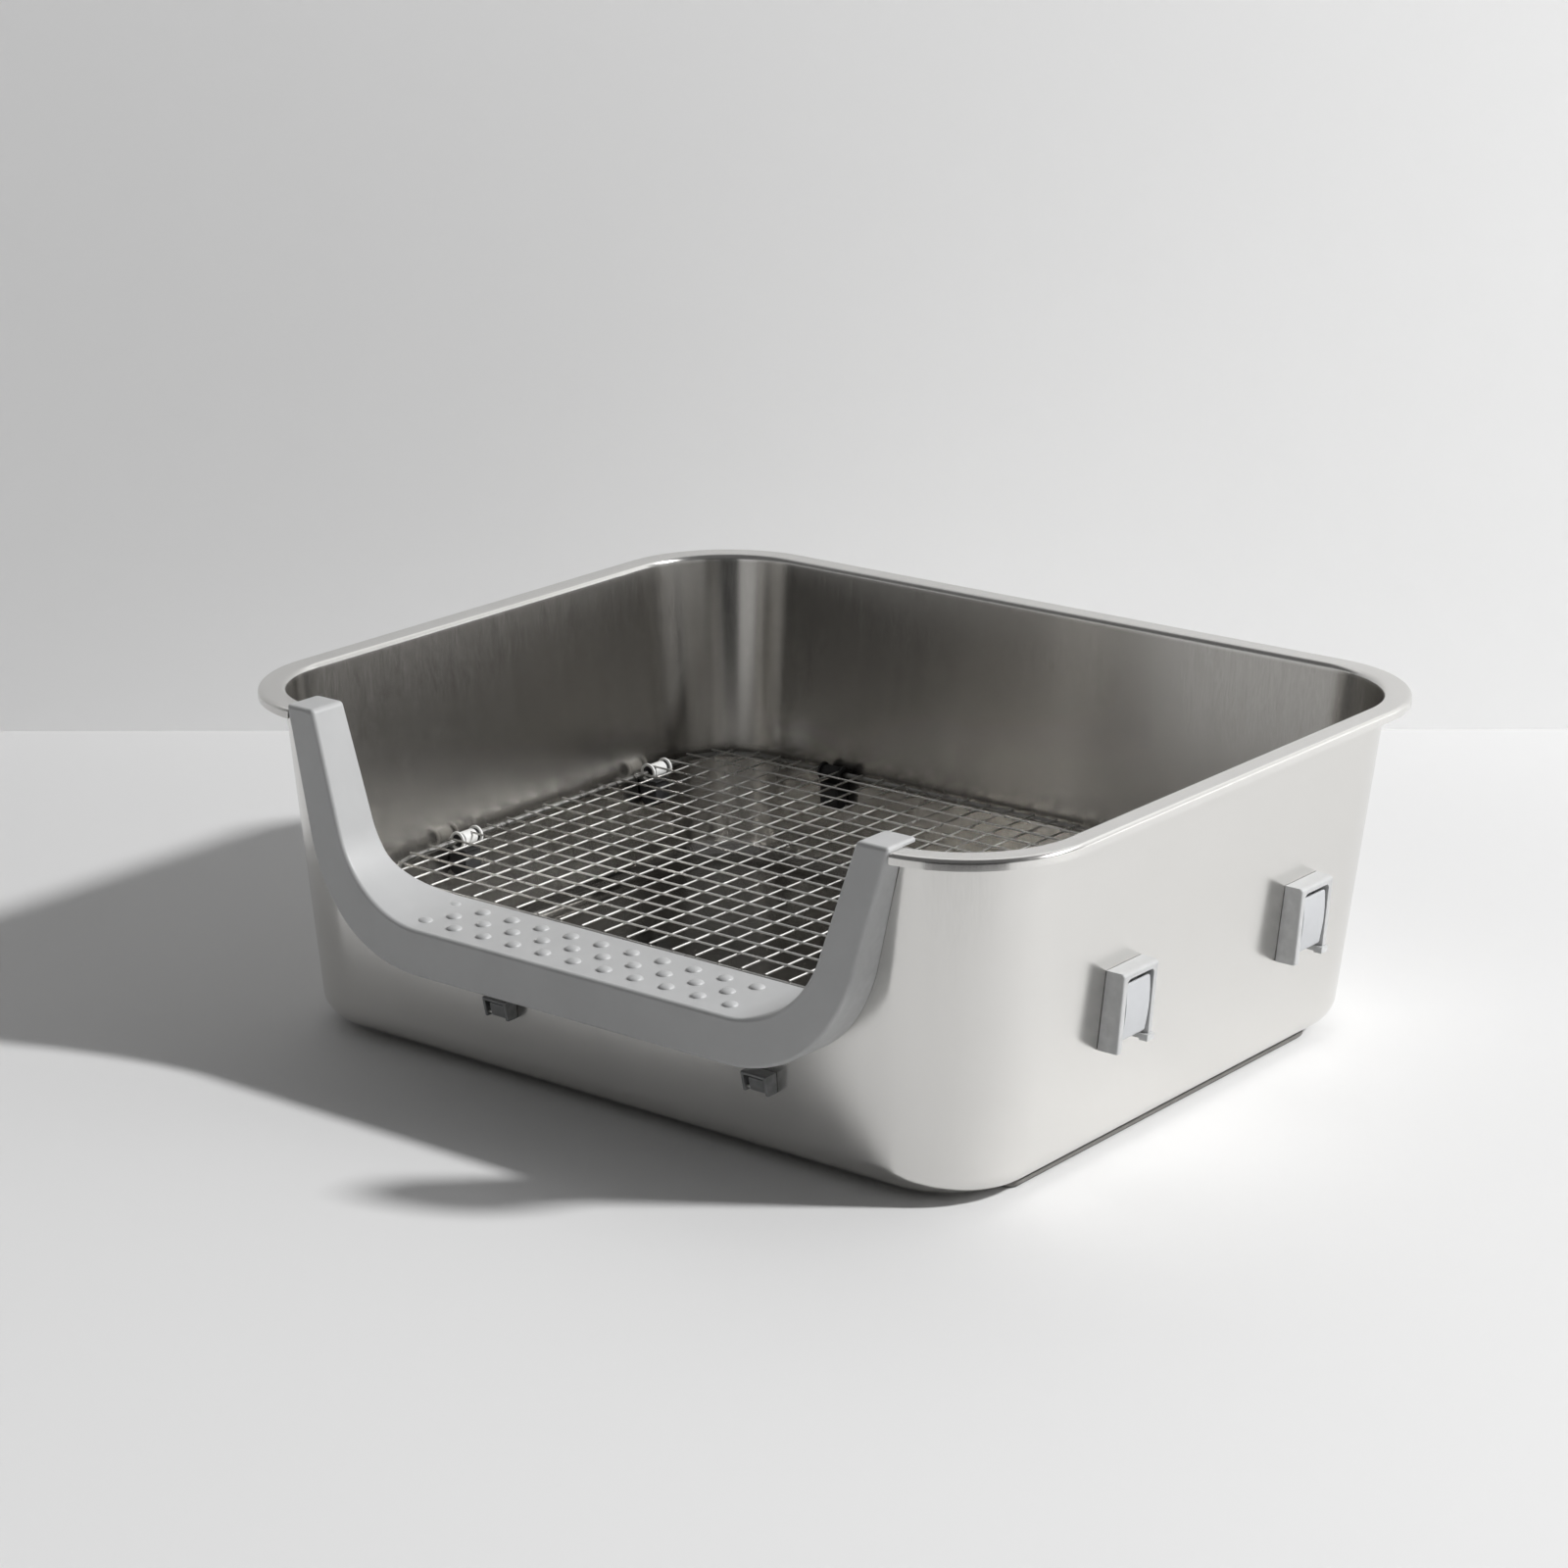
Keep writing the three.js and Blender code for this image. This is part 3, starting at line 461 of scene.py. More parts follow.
# The front catches' dark colour is painted shade: they sit in the shade under the guard
CATCH_GREY_PAINTED_SHADE = moulded("catch_grey_painted_shade", (0.145, 0.147, 0.148), (0.38, 0.385, 0.385), 0.42, wear=0.8)
WHITE = moulded("white_moulding", (0.80, 0.80, 0.785), (0.86, 0.86, 0.85), 0.36)
BLACK = moulded("black_rubber", (0.014, 0.014, 0.015), (0.04, 0.04, 0.04), 0.62,
                RUBBER_GRAIN, RUBBER_DEPTH)
RUBBER = moulded("grey_rubber", (0.15, 0.145, 0.135), (0.22, 0.215, 0.2), 0.7,
                 RUBBER_GRAIN, RUBBER_DEPTH)


# Mesh helpers
def finish_piece(name, bm, material, body, slot, nodes=(), bevel=0.0, segments=3, turned=True):
    """A finished mesh becomes a piece that rides on a body and stands for its nodes."""
    if turned:
        bmesh.ops.recalc_face_normals(bm, faces=bm.faces)
    for face in bm.faces:
        face.smooth = True
    for edge in bm.edges:
        edge.smooth = not edge.is_manifold or edge.calc_face_angle() < SHARP
    mesh = bpy.data.meshes.new(name)
    bm.to_mesh(mesh)
    bm.free()
    mesh.materials.append(material)
    piece = bpy.data.objects.new(name, mesh)
    scene.collection.objects.link(piece)
    if bevel:
        rounding = piece.modifiers.new("edges", "BEVEL")
        rounding.width = bevel
        rounding.segments = segments
        rounding.limit_method = "ANGLE"
        rounding.angle_limit = SHARP
        for polygon in mesh.polygons:
            polygon.use_smooth = True
        if "sharp_edge" in mesh.attributes:
            mesh.attributes.remove(mesh.attributes["sharp_edge"])
    weighted = piece.modifiers.new("normals", "WEIGHTED_NORMAL")
    weighted.keep_sharp = True
    weighted.weight = 100
    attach(piece, body)
    if nodes:
        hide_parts(*nodes)
    return piece


def solved(bm, cutter, operation="DIFFERENCE"):
    """bm after a boolean with cutter. Both are used up."""
    pieces = []
    for name, part in (("work", bm), ("tool", cutter)):
        part.normal_update()
        bmesh.ops.recalc_face_normals(part, faces=part.faces)
        mesh = bpy.data.meshes.new(name)
        part.to_mesh(mesh)
        part.free()
        pieces.append(bpy.data.objects.new(name, mesh))
        scene.collection.objects.link(pieces[-1])
    work, tool = pieces
    cut = work.modifiers.new("cut", "BOOLEAN")
    cut.operation = operation
    cut.solver = "EXACT"
    cut.object = tool
    result = bmesh.new()
    result.from_object(work, bpy.context.evaluated_depsgraph_get())
    for piece in pieces:
        mesh = piece.data
        bpy.data.objects.remove(piece)
        bpy.data.meshes.remove(mesh)
    return result


def mixed(a, b, share):
    return a + (b - a) * share


def eased(share, start, stop):
    """0 before start, 1 after stop, and a soft step between them."""
    t = min(max((share - start) / (stop - start), 0), 1)
    return t * t * (3 - 2 * t)


def only(geom, kind):
    """The vertices or the edges among the geometry that an operator gives back."""
    return [g for g in geom if isinstance(g, kind)]


def round_off(bm, edges, width, steps):
    bmesh.ops.bevel(
        bm, geom=edges, offset=width, offset_type="OFFSET", affect="EDGES",
        segments=steps, profile=0.5, material=-1, clamp_overlap=True,
    )


def arc(x, z, radius, start, stop, steps):
    """Points of an arc as (x, z) pairs, angles in degrees from +X towards +Z."""
    angles = [math.radians(start + (stop - start) * i / steps) for i in range(steps + 1)]
    return [(x + radius * math.cos(a), z + radius * math.sin(a)) for a in angles]


def rounded_plate(bm, half_x, half_y, radius, z, steps=CORNER_STEPS, middle_y=0.0):
    """A rounded rectangle that lies level at z, as one face."""
    corners = bmesh.ops.create_grid(bm, x_segments=1, y_segments=1, size=1)["verts"]
    bmesh.ops.scale(bm, vec=(half_x, half_y, 1), verts=corners)
    bmesh.ops.translate(bm, vec=(0, middle_y, z), verts=corners)
    before = set(bm.faces) - set(corners[0].link_faces)
    bmesh.ops.bevel(
        bm, geom=corners, offset=radius, offset_type="OFFSET", affect="VERTICES",
        segments=steps, profile=0.5, material=-1,
    )
    return next(f for f in bm.faces if f not in before)


def rounded_body(plates):
    """A closed body skinned over rounded rectangles, each as the values of a rounded_plate."""
    bm = bmesh.new()
    for pair in zip(plates, plates[1:]):
        edges = []
        for plate in pair:
            face = rounded_plate(bm, *plate)
            edges += face.edges
            bmesh.ops.delete(bm, geom=[face], context="FACES_ONLY")
        bmesh.ops.bridge_loops(bm, edges=edges)
    rounded_plate(bm, *plates[0])
    rounded_plate(bm, *plates[-1])
    bmesh.ops.remove_doubles(bm, verts=bm.verts, dist=MERGE)
    return bm


def ring_of(bm, points):
    """The edges of a closed ring through points."""
    verts = [bm.verts.new(p) for p in points]
    return verts, [bm.edges.new((v, verts[(i + 1) % len(verts)])) for i, v in enumerate(verts)]


def skin(bm, rings):
    """Faces between each ring of edges and the next."""
    for lower, upper in zip(rings, rings[1:]):
        bmesh.ops.bridge_loops(bm, edges=[*lower, *upper])


def close(bm, edges):
    bmesh.ops.contextual_create(bm, geom=edges)


def prism(outline, start, stop):
    """A closed prism from an outline of (x, z) points, along Y."""
    bm = bmesh.new()
    verts = [bm.verts.new((x, start, z)) for x, z in outline]
    face = bm.faces.new(verts)
    grown = bmesh.ops.extrude_face_region(bm, geom=[face], use_keep_orig=True)["geom"]
    bmesh.ops.translate(bm, vec=(0, stop - start, 0), verts=only(grown, BMVert))
    bmesh.ops.recalc_face_normals(bm, faces=bm.faces)
    return bm


def turned_body(profile, steps=32):
    """A body of revolution about Z. Its profile of (radius, z) points starts and ends on the axis."""
    bm = bmesh.new()
    verts = [bm.verts.new((r, 0, z)) for r, z in profile]
    edges = [bm.edges.new(pair) for pair in zip(verts, verts[1:])]
    bmesh.ops.spin(
        bm, geom=[*verts, *edges], cent=(0, 0, 0), axis=(0, 0, 1), angle=math.tau,
        steps=steps, use_merge=True,
    )
    bmesh.ops.remove_doubles(bm, verts=bm.verts, dist=MERGE)
    return bm


def placed(bm, matrix):
    bmesh.ops.transform(bm, matrix=matrix, verts=bm.verts)
    return bm


def joined(*parts):
    """Several meshes in one, each still closed by itself."""
    whole = bmesh.new()
    for part in parts:
        mesh = bpy.data.meshes.new("part")
        part.to_mesh(mesh)
        part.free()
        whole.from_mesh(mesh)
        bpy.data.meshes.remove(mesh)
    return whole


# The tray's walls: how far they stand inside the rim's outer edge at a height above the underside
def wall_inset(z):
    return FLANGE + WALL_TAPER * (1 - z / TRAY_HEIGHT)


def inner_inset(z):
    return wall_inset(z) + SHEET


def front_shift(z):
    """The front wall leans out less than the others: how far back the tray's middle lies at z."""
    return FRONT_SETBACK / 2 * z / TRAY_HEIGHT


def front_wall(z):
    return wall_inset(z) - RIM_WIDTH / 2 + 2 * front_shift(z)


def guard_face(z):
    """The guard's face is a plane that is steeper than the wall behind it."""
    at_sill = front_wall(SILL_HEIGHT) - GUARD_PROUD_AT_SILL
    at_top = front_wall(TRAY_HEIGHT) - GUARD_PROUD_AT_TOP
    return mixed(at_sill, at_top, (z - SILL_HEIGHT) / (TRAY_HEIGHT - SILL_HEIGHT))


def guard_back(z, reach):
    return front_wall(z) + SHEET + reach


# The guard's outline: curves at a distance outside its inner face
SWEEP = math.pi / 2 - LEG_FLARE
CORNER_CENTRE = SILL_HEIGHT + SILL_CORNER
CAP_TOP = TRAY_HEIGHT + GAP + CAP_THICKNESS


def corner_point(distance, angle, side):
    radius = SILL_CORNER + distance
    return side * (SILL_HALF + radius * math.sin(angle)), CORNER_CENTRE - radius * math.cos(angle)


def leg_point(distance, share, side, top):
    foot_x, foot_z = corner_point(distance, SWEEP, 1)
    inner_x, inner_z = corner_point(0, SWEEP, 1)
    top_x = inner_x + (top - inner_z) * math.tan(LEG_FLARE) + distance / math.cos(LEG_FLARE)
    return side * mixed(foot_x, top_x, share), mixed(foot_z, top, share)


def guard_curve(distance, top):
    def half(side):
        angles = [SWEEP * i / CORNER_STEPS for i in range(CORNER_STEPS + 1)]
        return [*(corner_point(distance, a, side) for a in angles), leg_point(distance, 1, side, top)]

    return [*reversed(half(-1)), *half(1)]


def tray_section():
    """The sheet's section as (inset, z), from the underside round the rim to the floor inside."""
    outer_foot = wall_inset(BOTTOM_RADIUS) + BOTTOM_RADIUS
    inner_foot = inner_inset(BOTTOM_RADIUS) + BOTTOM_RADIUS - SHEET
    roll = inner_inset(TRAY_HEIGHT) - RIM_ROLL
    roll_z = TRAY_HEIGHT - RIM_ROLL
    edge_z = TRAY_HEIGHT - RIM_EDGE_RADIUS
    return [
        *arc(outer_foot, BOTTOM_RADIUS, BOTTOM_RADIUS, 270, 180, FILLET_STEPS),
        *arc(roll, roll_z, RIM_ROLL - SHEET, 0, 90, 4),
        *arc(RIM_EDGE_RADIUS, edge_z, RIM_EDGE_RADIUS - SHEET, 90, 180, 4),
        (SHEET, TRAY_HEIGHT - RIM_DROP),
        (0, TRAY_HEIGHT - RIM_DROP),
        *arc(RIM_EDGE_RADIUS, edge_z, RIM_EDGE_RADIUS, 180, 90, 6),
        *arc(roll, roll_z, RIM_ROLL, 90, 0, 6),
        *arc(inner_foot, BOTTOM_RADIUS, BOTTOM_RADIUS - SHEET, 180, 270, FILLET_STEPS),
    ]


def tray_shell():
    plates = []
    for inset, z in tray_section():
        radius = RIM_CORNER - CORNER_TIGHTENING * inset
        back = front_shift(z)
        half_y = RIM_WIDTH / 2 - inset - back
        plates.append((RIM_LENGTH / 2 - inset, half_y, radius, z, CORNER_STEPS, back))
    bm = rounded_body(plates)
    outside = -RIM_WIDTH / 2 - OVERRUN
    above = TRAY_HEIGHT + OVERRUN
    entry = prism(guard_curve(GUARD_WALL + GAP, above), outside, front_wall(0) + SHEET + OVERRUN)
    bm = solved(bm, entry)
    leg_side = leg_point(BAND_AT_LEG_TOP, 1, 1, TRAY_HEIGHT)[0] + GAP
    under_rim = TRAY_HEIGHT - RIM_DROP - GAP
    corners = [(-leg_side, under_rim), (leg_side, under_rim), (leg_side, above), (-leg_side, above)]
    bm = solved(bm, prism(corners, outside, front_wall(TRAY_HEIGHT)))
    finish_piece("steel_tray", placed(bm, TRAY_PLACE), STEEL, "tray", "brushed_steel_sheet",
                 ["tray_shell"])


def guard_stations():
    """Places along the guard: a function of distance, the band's height and the reach into the tray."""
    def half(side):
        stations = []
        for i in range(CORNER_STEPS + 1):
            share = i / CORNER_STEPS
            band = mixed(BAND_AT_SILL, BAND_AT_LEG_FOOT, eased(share, BAND_EASE_SHARE, 1))
            reach = mixed(SILL_REACH, LEG_REACH_AT_FOOT, eased(share, 0, REACH_EASE_SHARE))
            stations.append((lambda d, a=SWEEP * share: corner_point(d, a, side), band, reach))
        for share in (0.5, 1.0):
            band = mixed(BAND_AT_LEG_FOOT, BAND_AT_LEG_TOP, share)
            reach = mixed(LEG_REACH_AT_FOOT, LEG_REACH_AT_TOP, share)
            foot_of_cap = CAP_TOP - CAP_THICKNESS
            stations.append((lambda d, s=share: leg_point(d, s, side, foot_of_cap), band, reach))
        return stations

    return [*reversed(half(-1)), *half(1)]


def guard_section(at, band, reach):
    """One section of the guard's channel: face, outer return to the wall, web and inner lip."""
    def point(distance, y_of):
        x, z = at(distance)
        return Vector((x, y_of(z), z))

    def skin_face(z):
        return guard_face(z) + GUARD_WALL

    def wall(z):
        return front_wall(z) - GAP

    def back(z):
        return guard_back(z, reach)

    def inner_back(z):
        return guard_back(z, reach) - GUARD_WALL

    return [
        point(0, guard_face), point(band, guard_face), point(band, wall),
        point(band - GUARD_WALL, wall), point(band - GUARD_WALL, skin_face),
        point(GUARD_WALL, skin_face), point(GUARD_WALL, inner_back),
        point(INNER_LIP, inner_back), point(INNER_LIP, back), point(0, back),
    ]


def cap_leg(bm, ring, side):
    """Close a leg's channel with a solid cap that lies over the tray's rim. Returns its round edges."""
    corner = bm.verts.new((ring[1].co.x, ring[9].co.y, ring[1].co.z))
    bm.faces.new([ring[2], corner, ring[8], *ring[7:2:-1]])
    outline = [ring[0], ring[1], ring[2], corner, ring[8], ring[9]]
    pairs = list(zip(outline, [*outline[1:], outline[0]]))
    edges = [bm.edges.get(pair) or bm.edges.new(pair) for pair in pairs]
    rise = CAP_THICKNESS * Vector((side * math.tan(LEG_FLARE), 0, 1))
    grown = bmesh.ops.extrude_edge_only(bm, edges=edges)["geom"]
    verts = only(grown, BMVert)
    bmesh.ops.translate(bm, vec=rise, verts=verts)
    top = [e for e in only(grown, BMEdge) if all(v in verts for v in e.verts)]
    close(bm, top)
    upright = [e for v in (ring[0], ring[1], ring[9], corner) for e in v.link_edges
               if any(o in verts for o in e.verts)]
    return [*top, *upright]


def entry_guard():
    bm = bmesh.new()
    rings = [ring_of(bm, guard_section(*station)) for station in guard_stations()]
    skin(bm, [edges for _, edges in rings])
    round_edges = cap_leg(bm, rings[0][0], -1) + cap_leg(bm, rings[-1][0], 1)
    for (lower, _), (upper, _) in zip(rings, rings[1:]):
        round_edges += [bm.edges.get((lower[i], upper[i])) for i in (0, 1, 9)]
    bmesh.ops.recalc_face_normals(bm, faces=bm.faces)
    round_off(bm, round_edges, GUARD_EDGE, GUARD_EDGE_STEPS)
    bumps = []
    for row in range(BUMP_ROWS):
        count = BUMPS_IN_OUTER_ROW - row % 2
        y = guard_face(SILL_HEIGHT) + BUMP_EDGE + row * BUMP_ROW_PITCH
        middle = BUMP_SHIFT + row * BUMP_ROW_SHIFT
        for i in range(count):
            dome = bmesh.new()
            shape = Matrix.Diagonal((BUMP_RADIUS, BUMP_RADIUS, BUMP_HEIGHT, 1))
            spot = Matrix.Translation((middle + (i - (count - 1) / 2) * BUMP_PITCH, y, SILL_HEIGHT))
            bmesh.ops.create_uvsphere(dome, u_segments=16, v_segments=10, radius=1, matrix=spot @ shape)
            bumps.append(dome)
    whole = joined(bm, *bumps)
    finish_piece("moulded_guard", placed(whole, TRAY_PLACE), GREY, "guard", "grey_plastic",
                 ["entry_guard"], turned=False)


# Latches stand on the walls: X points out of the tray from the wall's line at rim height, Y runs
# along the wall, and Z is the height above the tray's underside
WALL_TURNS = {"right": 0, "back": math.pi / 2, "left": math.pi, "front": -math.pi / 2}
LATCH_WALLS = {
    "latch_right_front": "right", "latch_right_back": "right",
    "latch_left_front": "left", "latch_left_back": "left",
    "catch_left": "front", "catch_right": "front",
}


def wall_x(z, taper):
    return taper * (z / TRAY_HEIGHT - 1)


def latch_place(name):
    """Where a latch's own frame stands, from its housing's box in the frame."""
    low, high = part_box(name + "_housing")
    middle = (low + high) / 2
    wall = LATCH_WALLS[name]
    turn = Matrix.Rotation(WALL_TURNS[wall], 4, "Z")
    offset = TRAY_PLACE.translation.copy()
    if wall == "front":
        offset += Vector((middle.x, FRONT_SETBACK + FLANGE - RIM_WIDTH / 2, 0))
    else:
        offset.y = middle.y
        offset += turn @ Vector((RIM_LENGTH / 2 - FLANGE, 0, 0))
    return Matrix.Translation(offset) @ turn


def latch_places(latch):
    """A latch's own places. Its face leans with the wall behind it."""
    bottom, top = latch["bottom"], latch["top"]
    low_face = wall_x(bottom, latch["taper"]) + latch["proud_at_bottom"]
    high_face = wall_x(top, latch["taper"]) + latch["proud_at_top"]

    def face(z):
        return mixed(low_face, high_face, (z - bottom) / (top - bottom))

    window_top = top - latch["top_bar"]
    pin_z = bottom + latch["pin_up"]
    return {
        "face": face,
        "window_top": window_top,
        "window_half": latch["width"] / 2 - latch["side"],
        "lever_top": window_top - latch["lever_top_gap"],
        "pin_x": face(pin_z) - latch["recess"] - latch["barrel"],
        "pin_z": pin_z,
        "stud_z": (pin_z + window_top) / 2,
    }


def latch_block(latch):
    """The solid block that a housing is cut from, with round outer edges."""
    at = latch_places(latch)
    face, taper = at["face"], latch["taper"]
    half, bottom, top = latch["width"] / 2, latch["bottom"], latch["top"]
    shoulder = top - latch["bevel_down"]
    block = prism([
        (wall_x(bottom, taper) + GAP, bottom), (face(bottom), bottom), (face(shoulder), shoulder),
        (face(top) - latch["bevel_out"], top), (wall_x(top, taper) + GAP, top),
    ], -half, half)
    outer_edges = [
        e for e in block.edges
        if all(v.co.x > wall_x(v.co.z, taper) + latch["back"] for v in e.verts)
        and any(v.co.z > bottom + GAP for v in e.verts)
    ]
    round_off(block, outer_edges, latch["outer_edge"], 4)
    return block


def latch_window(latch):
    """The cut before a housing's back plate, open at its foot and round at its upper corners. A
    prism one unit deep is stretched from the plate's slope to in front of the face."""
    at = latch_places(latch)
    face, taper = at["face"], latch["taper"]
    side, arch = at["window_half"], latch["arch"]
    foot = latch["bottom"] - OVERRUN
    arch_z = at["window_top"] - arch
    window = prism([
        (-side, foot), (side, foot),
        *arc(side - arch, arch_z, arch, 0, 90, FILLET_STEPS),
        *arc(arch - side, arch_z, arch, 90, 180, FILLET_STEPS),
    ], 0, 1)
    for vert in window.verts:
        x, y, z = vert.co
        deep = wall_x(z, taper) + GAP + latch["back"]
        vert.co = Vector((face(z) + OVERRUN if y > 0.5 else deep, x, z))
    return window


def latch_housing(latch, hand):
    """An inverted U on a back plate, with a small block at the far pillar's foot on a side latch."""
    casing = solved(latch_block(latch), latch_window(latch))
    if not latch["heel_height"]:
        return casing
    face = latch_places(latch)["face"]
    half, bottom = latch["width"] / 2, latch["bottom"]
    rise, proud = bottom + latch["heel_height"], latch["heel_proud"]
    root = face(bottom) - latch["heel_depth"]
    near, far = sorted((hand * (half - latch["heel_width"]), hand * half))
    heel = prism([
        (root, bottom), (face(bottom) + proud, bottom), (face(rise) + proud, rise), (root, rise),
    ], near, far)
    return solved(casing, heel, "UNION")


def latch_lever(latch, hand):
    """A barrel round the pin and a crowned finger plate above it, its upper corners rounded."""
    at = latch_places(latch)
    radius, pin_z, top = latch["barrel"], at["pin_z"], at["lever_top"]

    def front(z):
        return at["face"](z) - latch["recess"]

    def back(z):
        return front(z) - latch["lever_thick"]

    heights = [(mixed(pin_z, top, i / 10), math.sin(math.pi * i / 10)) for i in range(1, 11)]
    outline = [
        *arc(at["pin_x"], pin_z, radius, 180, 360, 12),
        *((front(z) + latch["bulge"] * swell, z) for z, swell in heights),
        (back(top), top),
        (back(pin_z + radius), pin_z + radius),
    ]
    near = hand * (latch["lever_near_gap"] - at["window_half"])
    far = hand * (at["window_half"] - latch["lever_far_gap"])
    bm = prism(outline, *sorted((near, far)))
    corners = [
        e for e in bm.edges
        if all(abs(v.co.z - top) < CLOSE for v in e.verts)
        and abs(e.verts[0].co.y - e.verts[1].co.y) < CLOSE
    ]
    round_off(bm, corners, latch["arch"] / 2, 4)
    return bm


def latch_pin(latch):
    at = latch_places(latch)
    radius, half = latch["pin"], latch["width"] / 2 - GAP
    bevel = radius / 4
    pin = turned_body([(0, -half), (radius - bevel, -half), (radius, bevel - half),
                       (radius, half - bevel), (radius - bevel, half), (0, half)])
    lie = Matrix.Translation((at["pin_x"], 0, at["pin_z"])) @ Matrix.Rotation(math.pi / 2, 4, "X")
    return placed(pin, lie)


def latch_stud(latch):
    """A stud welded to the wall's outer face, whose domed head holds the housing's back plate."""
    at = latch_places(latch)
    shank, head, height = latch["stud"], latch["head"], latch["head_height"]
    seat = 2 * GAP + latch["back"]
    dome = [(head * math.cos(a), seat + height * math.sin(a))
            for a in (math.pi / 2 * i / 6 for i in range(6))]
    stud = turned_body([(0, GAP), (shank, GAP), (shank, seat), *dome, (0, seat + height)])
    lean = math.atan(latch["taper"] / TRAY_HEIGHT)
    stand = Matrix.Translation((wall_x(at["stud_z"], latch["taper"]), 0, at["stud_z"]))
    return placed(stud, stand @ Matrix.Rotation(math.pi / 2 + lean, 4, "Y"))


def latches():
    for name, wall in LATCH_WALLS.items():
        latch = FRONT_CATCH if wall == "front" else SIDE_LATCH
        hand = -1 if wall == "left" else 1
        place = latch_place(name)
        # The front catches take the darker moulding as painted shade for their place under the guard
        casing, case_slot = (CATCH_GREY_PAINTED_SHADE, "dark_grey_plastic") if wall == "front" else (CASE, "grey_plastic")
        finger, lever_slot = (CATCH_GREY_PAINTED_SHADE, "dark_grey_plastic") if wall == "front" else (PALE, "pale_plastic")
        finish_piece(name + "_casing", placed(latch_housing(latch, hand), place), casing, "tray",
                     case_slot, [name + "_housing"], bevel=latch["fine_edge"])
        finish_piece(name + "_finger", placed(latch_lever(latch, hand), place), finger, name,
                     lever_slot, [name + "_lever"], bevel=latch["fine_edge"])
        finish_piece(name + "_axle", placed(latch_pin(latch), place), WIRE, "tray",
                     "steel_wire", [name + "_pin"])
        finish_piece(name + "_rivet", placed(latch_stud(latch), place), WIRE, "tray",
                     "steel_wire", [name + "_stud"])


# The wire grid
grid_low, grid_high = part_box("grid_frame")
GRID_HALF_X = (grid_high.x - grid_low.x - FRAME_ROD) / 2
GRID_HALF_Y = (grid_high.y - grid_low.y - FRAME_ROD) / 2
GRID_MIDDLE = (grid_low + grid_high) / 2


def grid_frame():
    """A round rod bent into a closed rounded rectangle: four straights and four bends."""
    bm = bmesh.new()
    start = Matrix.Translation((GRID_HALF_X, GRID_CORNER - GRID_HALF_Y, 0))
    lie = Matrix.Rotation(math.pi / 2, 4, "X")
    verts = bmesh.ops.create_circle(
        bm, cap_ends=False, radius=FRAME_ROD / 2, segments=16, matrix=start @ lie)["verts"]
    edges = list({e for v in verts for e in v.link_edges})
    for quarter in range(4):
        length = 2 * ((GRID_HALF_X, GRID_HALF_Y)[(quarter + 1) % 2] - GRID_CORNER)
        heading = Matrix.Rotation(quarter * math.pi / 2, 4, "Z")
        grown = bmesh.ops.extrude_edge_only(bm, edges=edges)["geom"]
        verts = only(grown, BMVert)
        bmesh.ops.translate(bm, vec=heading @ Vector((0, length, 0)), verts=verts)
        edges = [e for e in only(grown, BMEdge) if all(v in verts for v in e.verts)]
        middle = sum((v.co for v in verts), Vector()) / len(verts)
        centre = middle - heading @ Vector((GRID_CORNER, 0, 0))
        last = bmesh.ops.spin(bm, geom=[*verts, *edges], cent=centre, axis=(0, 0, 1),
                              angle=math.pi / 2, steps=12)["geom_last"]
        edges = only(last, BMEdge)
    bmesh.ops.remove_doubles(bm, verts=bm.verts, dist=CLOSE)
    finish_piece("frame_rod", placed(bm, Matrix.Translation(GRID_MIDDLE)), ROD, "grid",
                 "steel_wire", ["grid_frame"])


def half_span(at, half_along, half_across):
    """Half of a wire's length where it lies at a distance from the middle of the rounded frame."""
    past = abs(at) - (half_across - GRID_CORNER)
    if past <= 0:
        return half_along
    return half_along - GRID_CORNER + math.sqrt(GRID_CORNER ** 2 - past ** 2)


def grid_wires():
    """Two layers of welded wires: the long way on top of the short way, on the frame rod."""
    low_layer = GRID_MIDDLE.z + (FRAME_ROD + MESH_WIRE) / 2
    wires = []
    for layer, (count, half, half_along) in enumerate((
        (MESH_COLUMNS, GRID_HALF_X, GRID_HALF_Y), (MESH_ROWS, GRID_HALF_Y, GRID_HALF_X),
    )):
        for i in range(1, count):
            at = half * (2 * i / count - 1)
            span = half_span(at, half_along, half)
            wire = bmesh.new()
            bmesh.ops.create_cone(wire, cap_ends=True, segments=10, radius1=MESH_WIRE / 2,
                                  radius2=MESH_WIRE / 2, depth=2 * span)
            lie = Matrix.Rotation(math.pi / 2, 4, "Y" if layer else "X")
            z = low_layer + layer * WELDED_LAYER_SHARE * MESH_WIRE
            place = Matrix.Translation((0, at, z) if layer else (at, 0, z))
            centre = Matrix.Translation((GRID_MIDDLE.x, GRID_MIDDLE.y, 0))
            wires.append(placed(wire, centre @ place @ lie))
    finish_piece("welded_wires", joined(*wires), WIRE, "grid", "steel_wire", ["grid_mesh"])


def tube(inner, outer, length, opening=0.0, steps=28):
    """A tube along Y, closed all round or open over an angle at its underside."""
    bm = bmesh.new()
    half = length / 2
    corners = [(inner, -half), (outer, -half), (outer, half), (inner, half)]
    verts, geom = ring_of(bm, [(r, y, 0) for r, y in corners])
    geom += verts
    if opening:
        geom.append(bm.faces.new(verts))
    placed(bm, Matrix.Rotation(math.pi / 2 + opening / 2, 4, "Y"))
    bmesh.ops.spin(
        bm, geom=geom, cent=(0, 0, 0), axis=(0, 1, 0), angle=math.tau - opening, steps=steps,
        use_merge=not opening,
    )
    bmesh.ops.recalc_face_normals(bm, faces=bm.faces)
    return bm


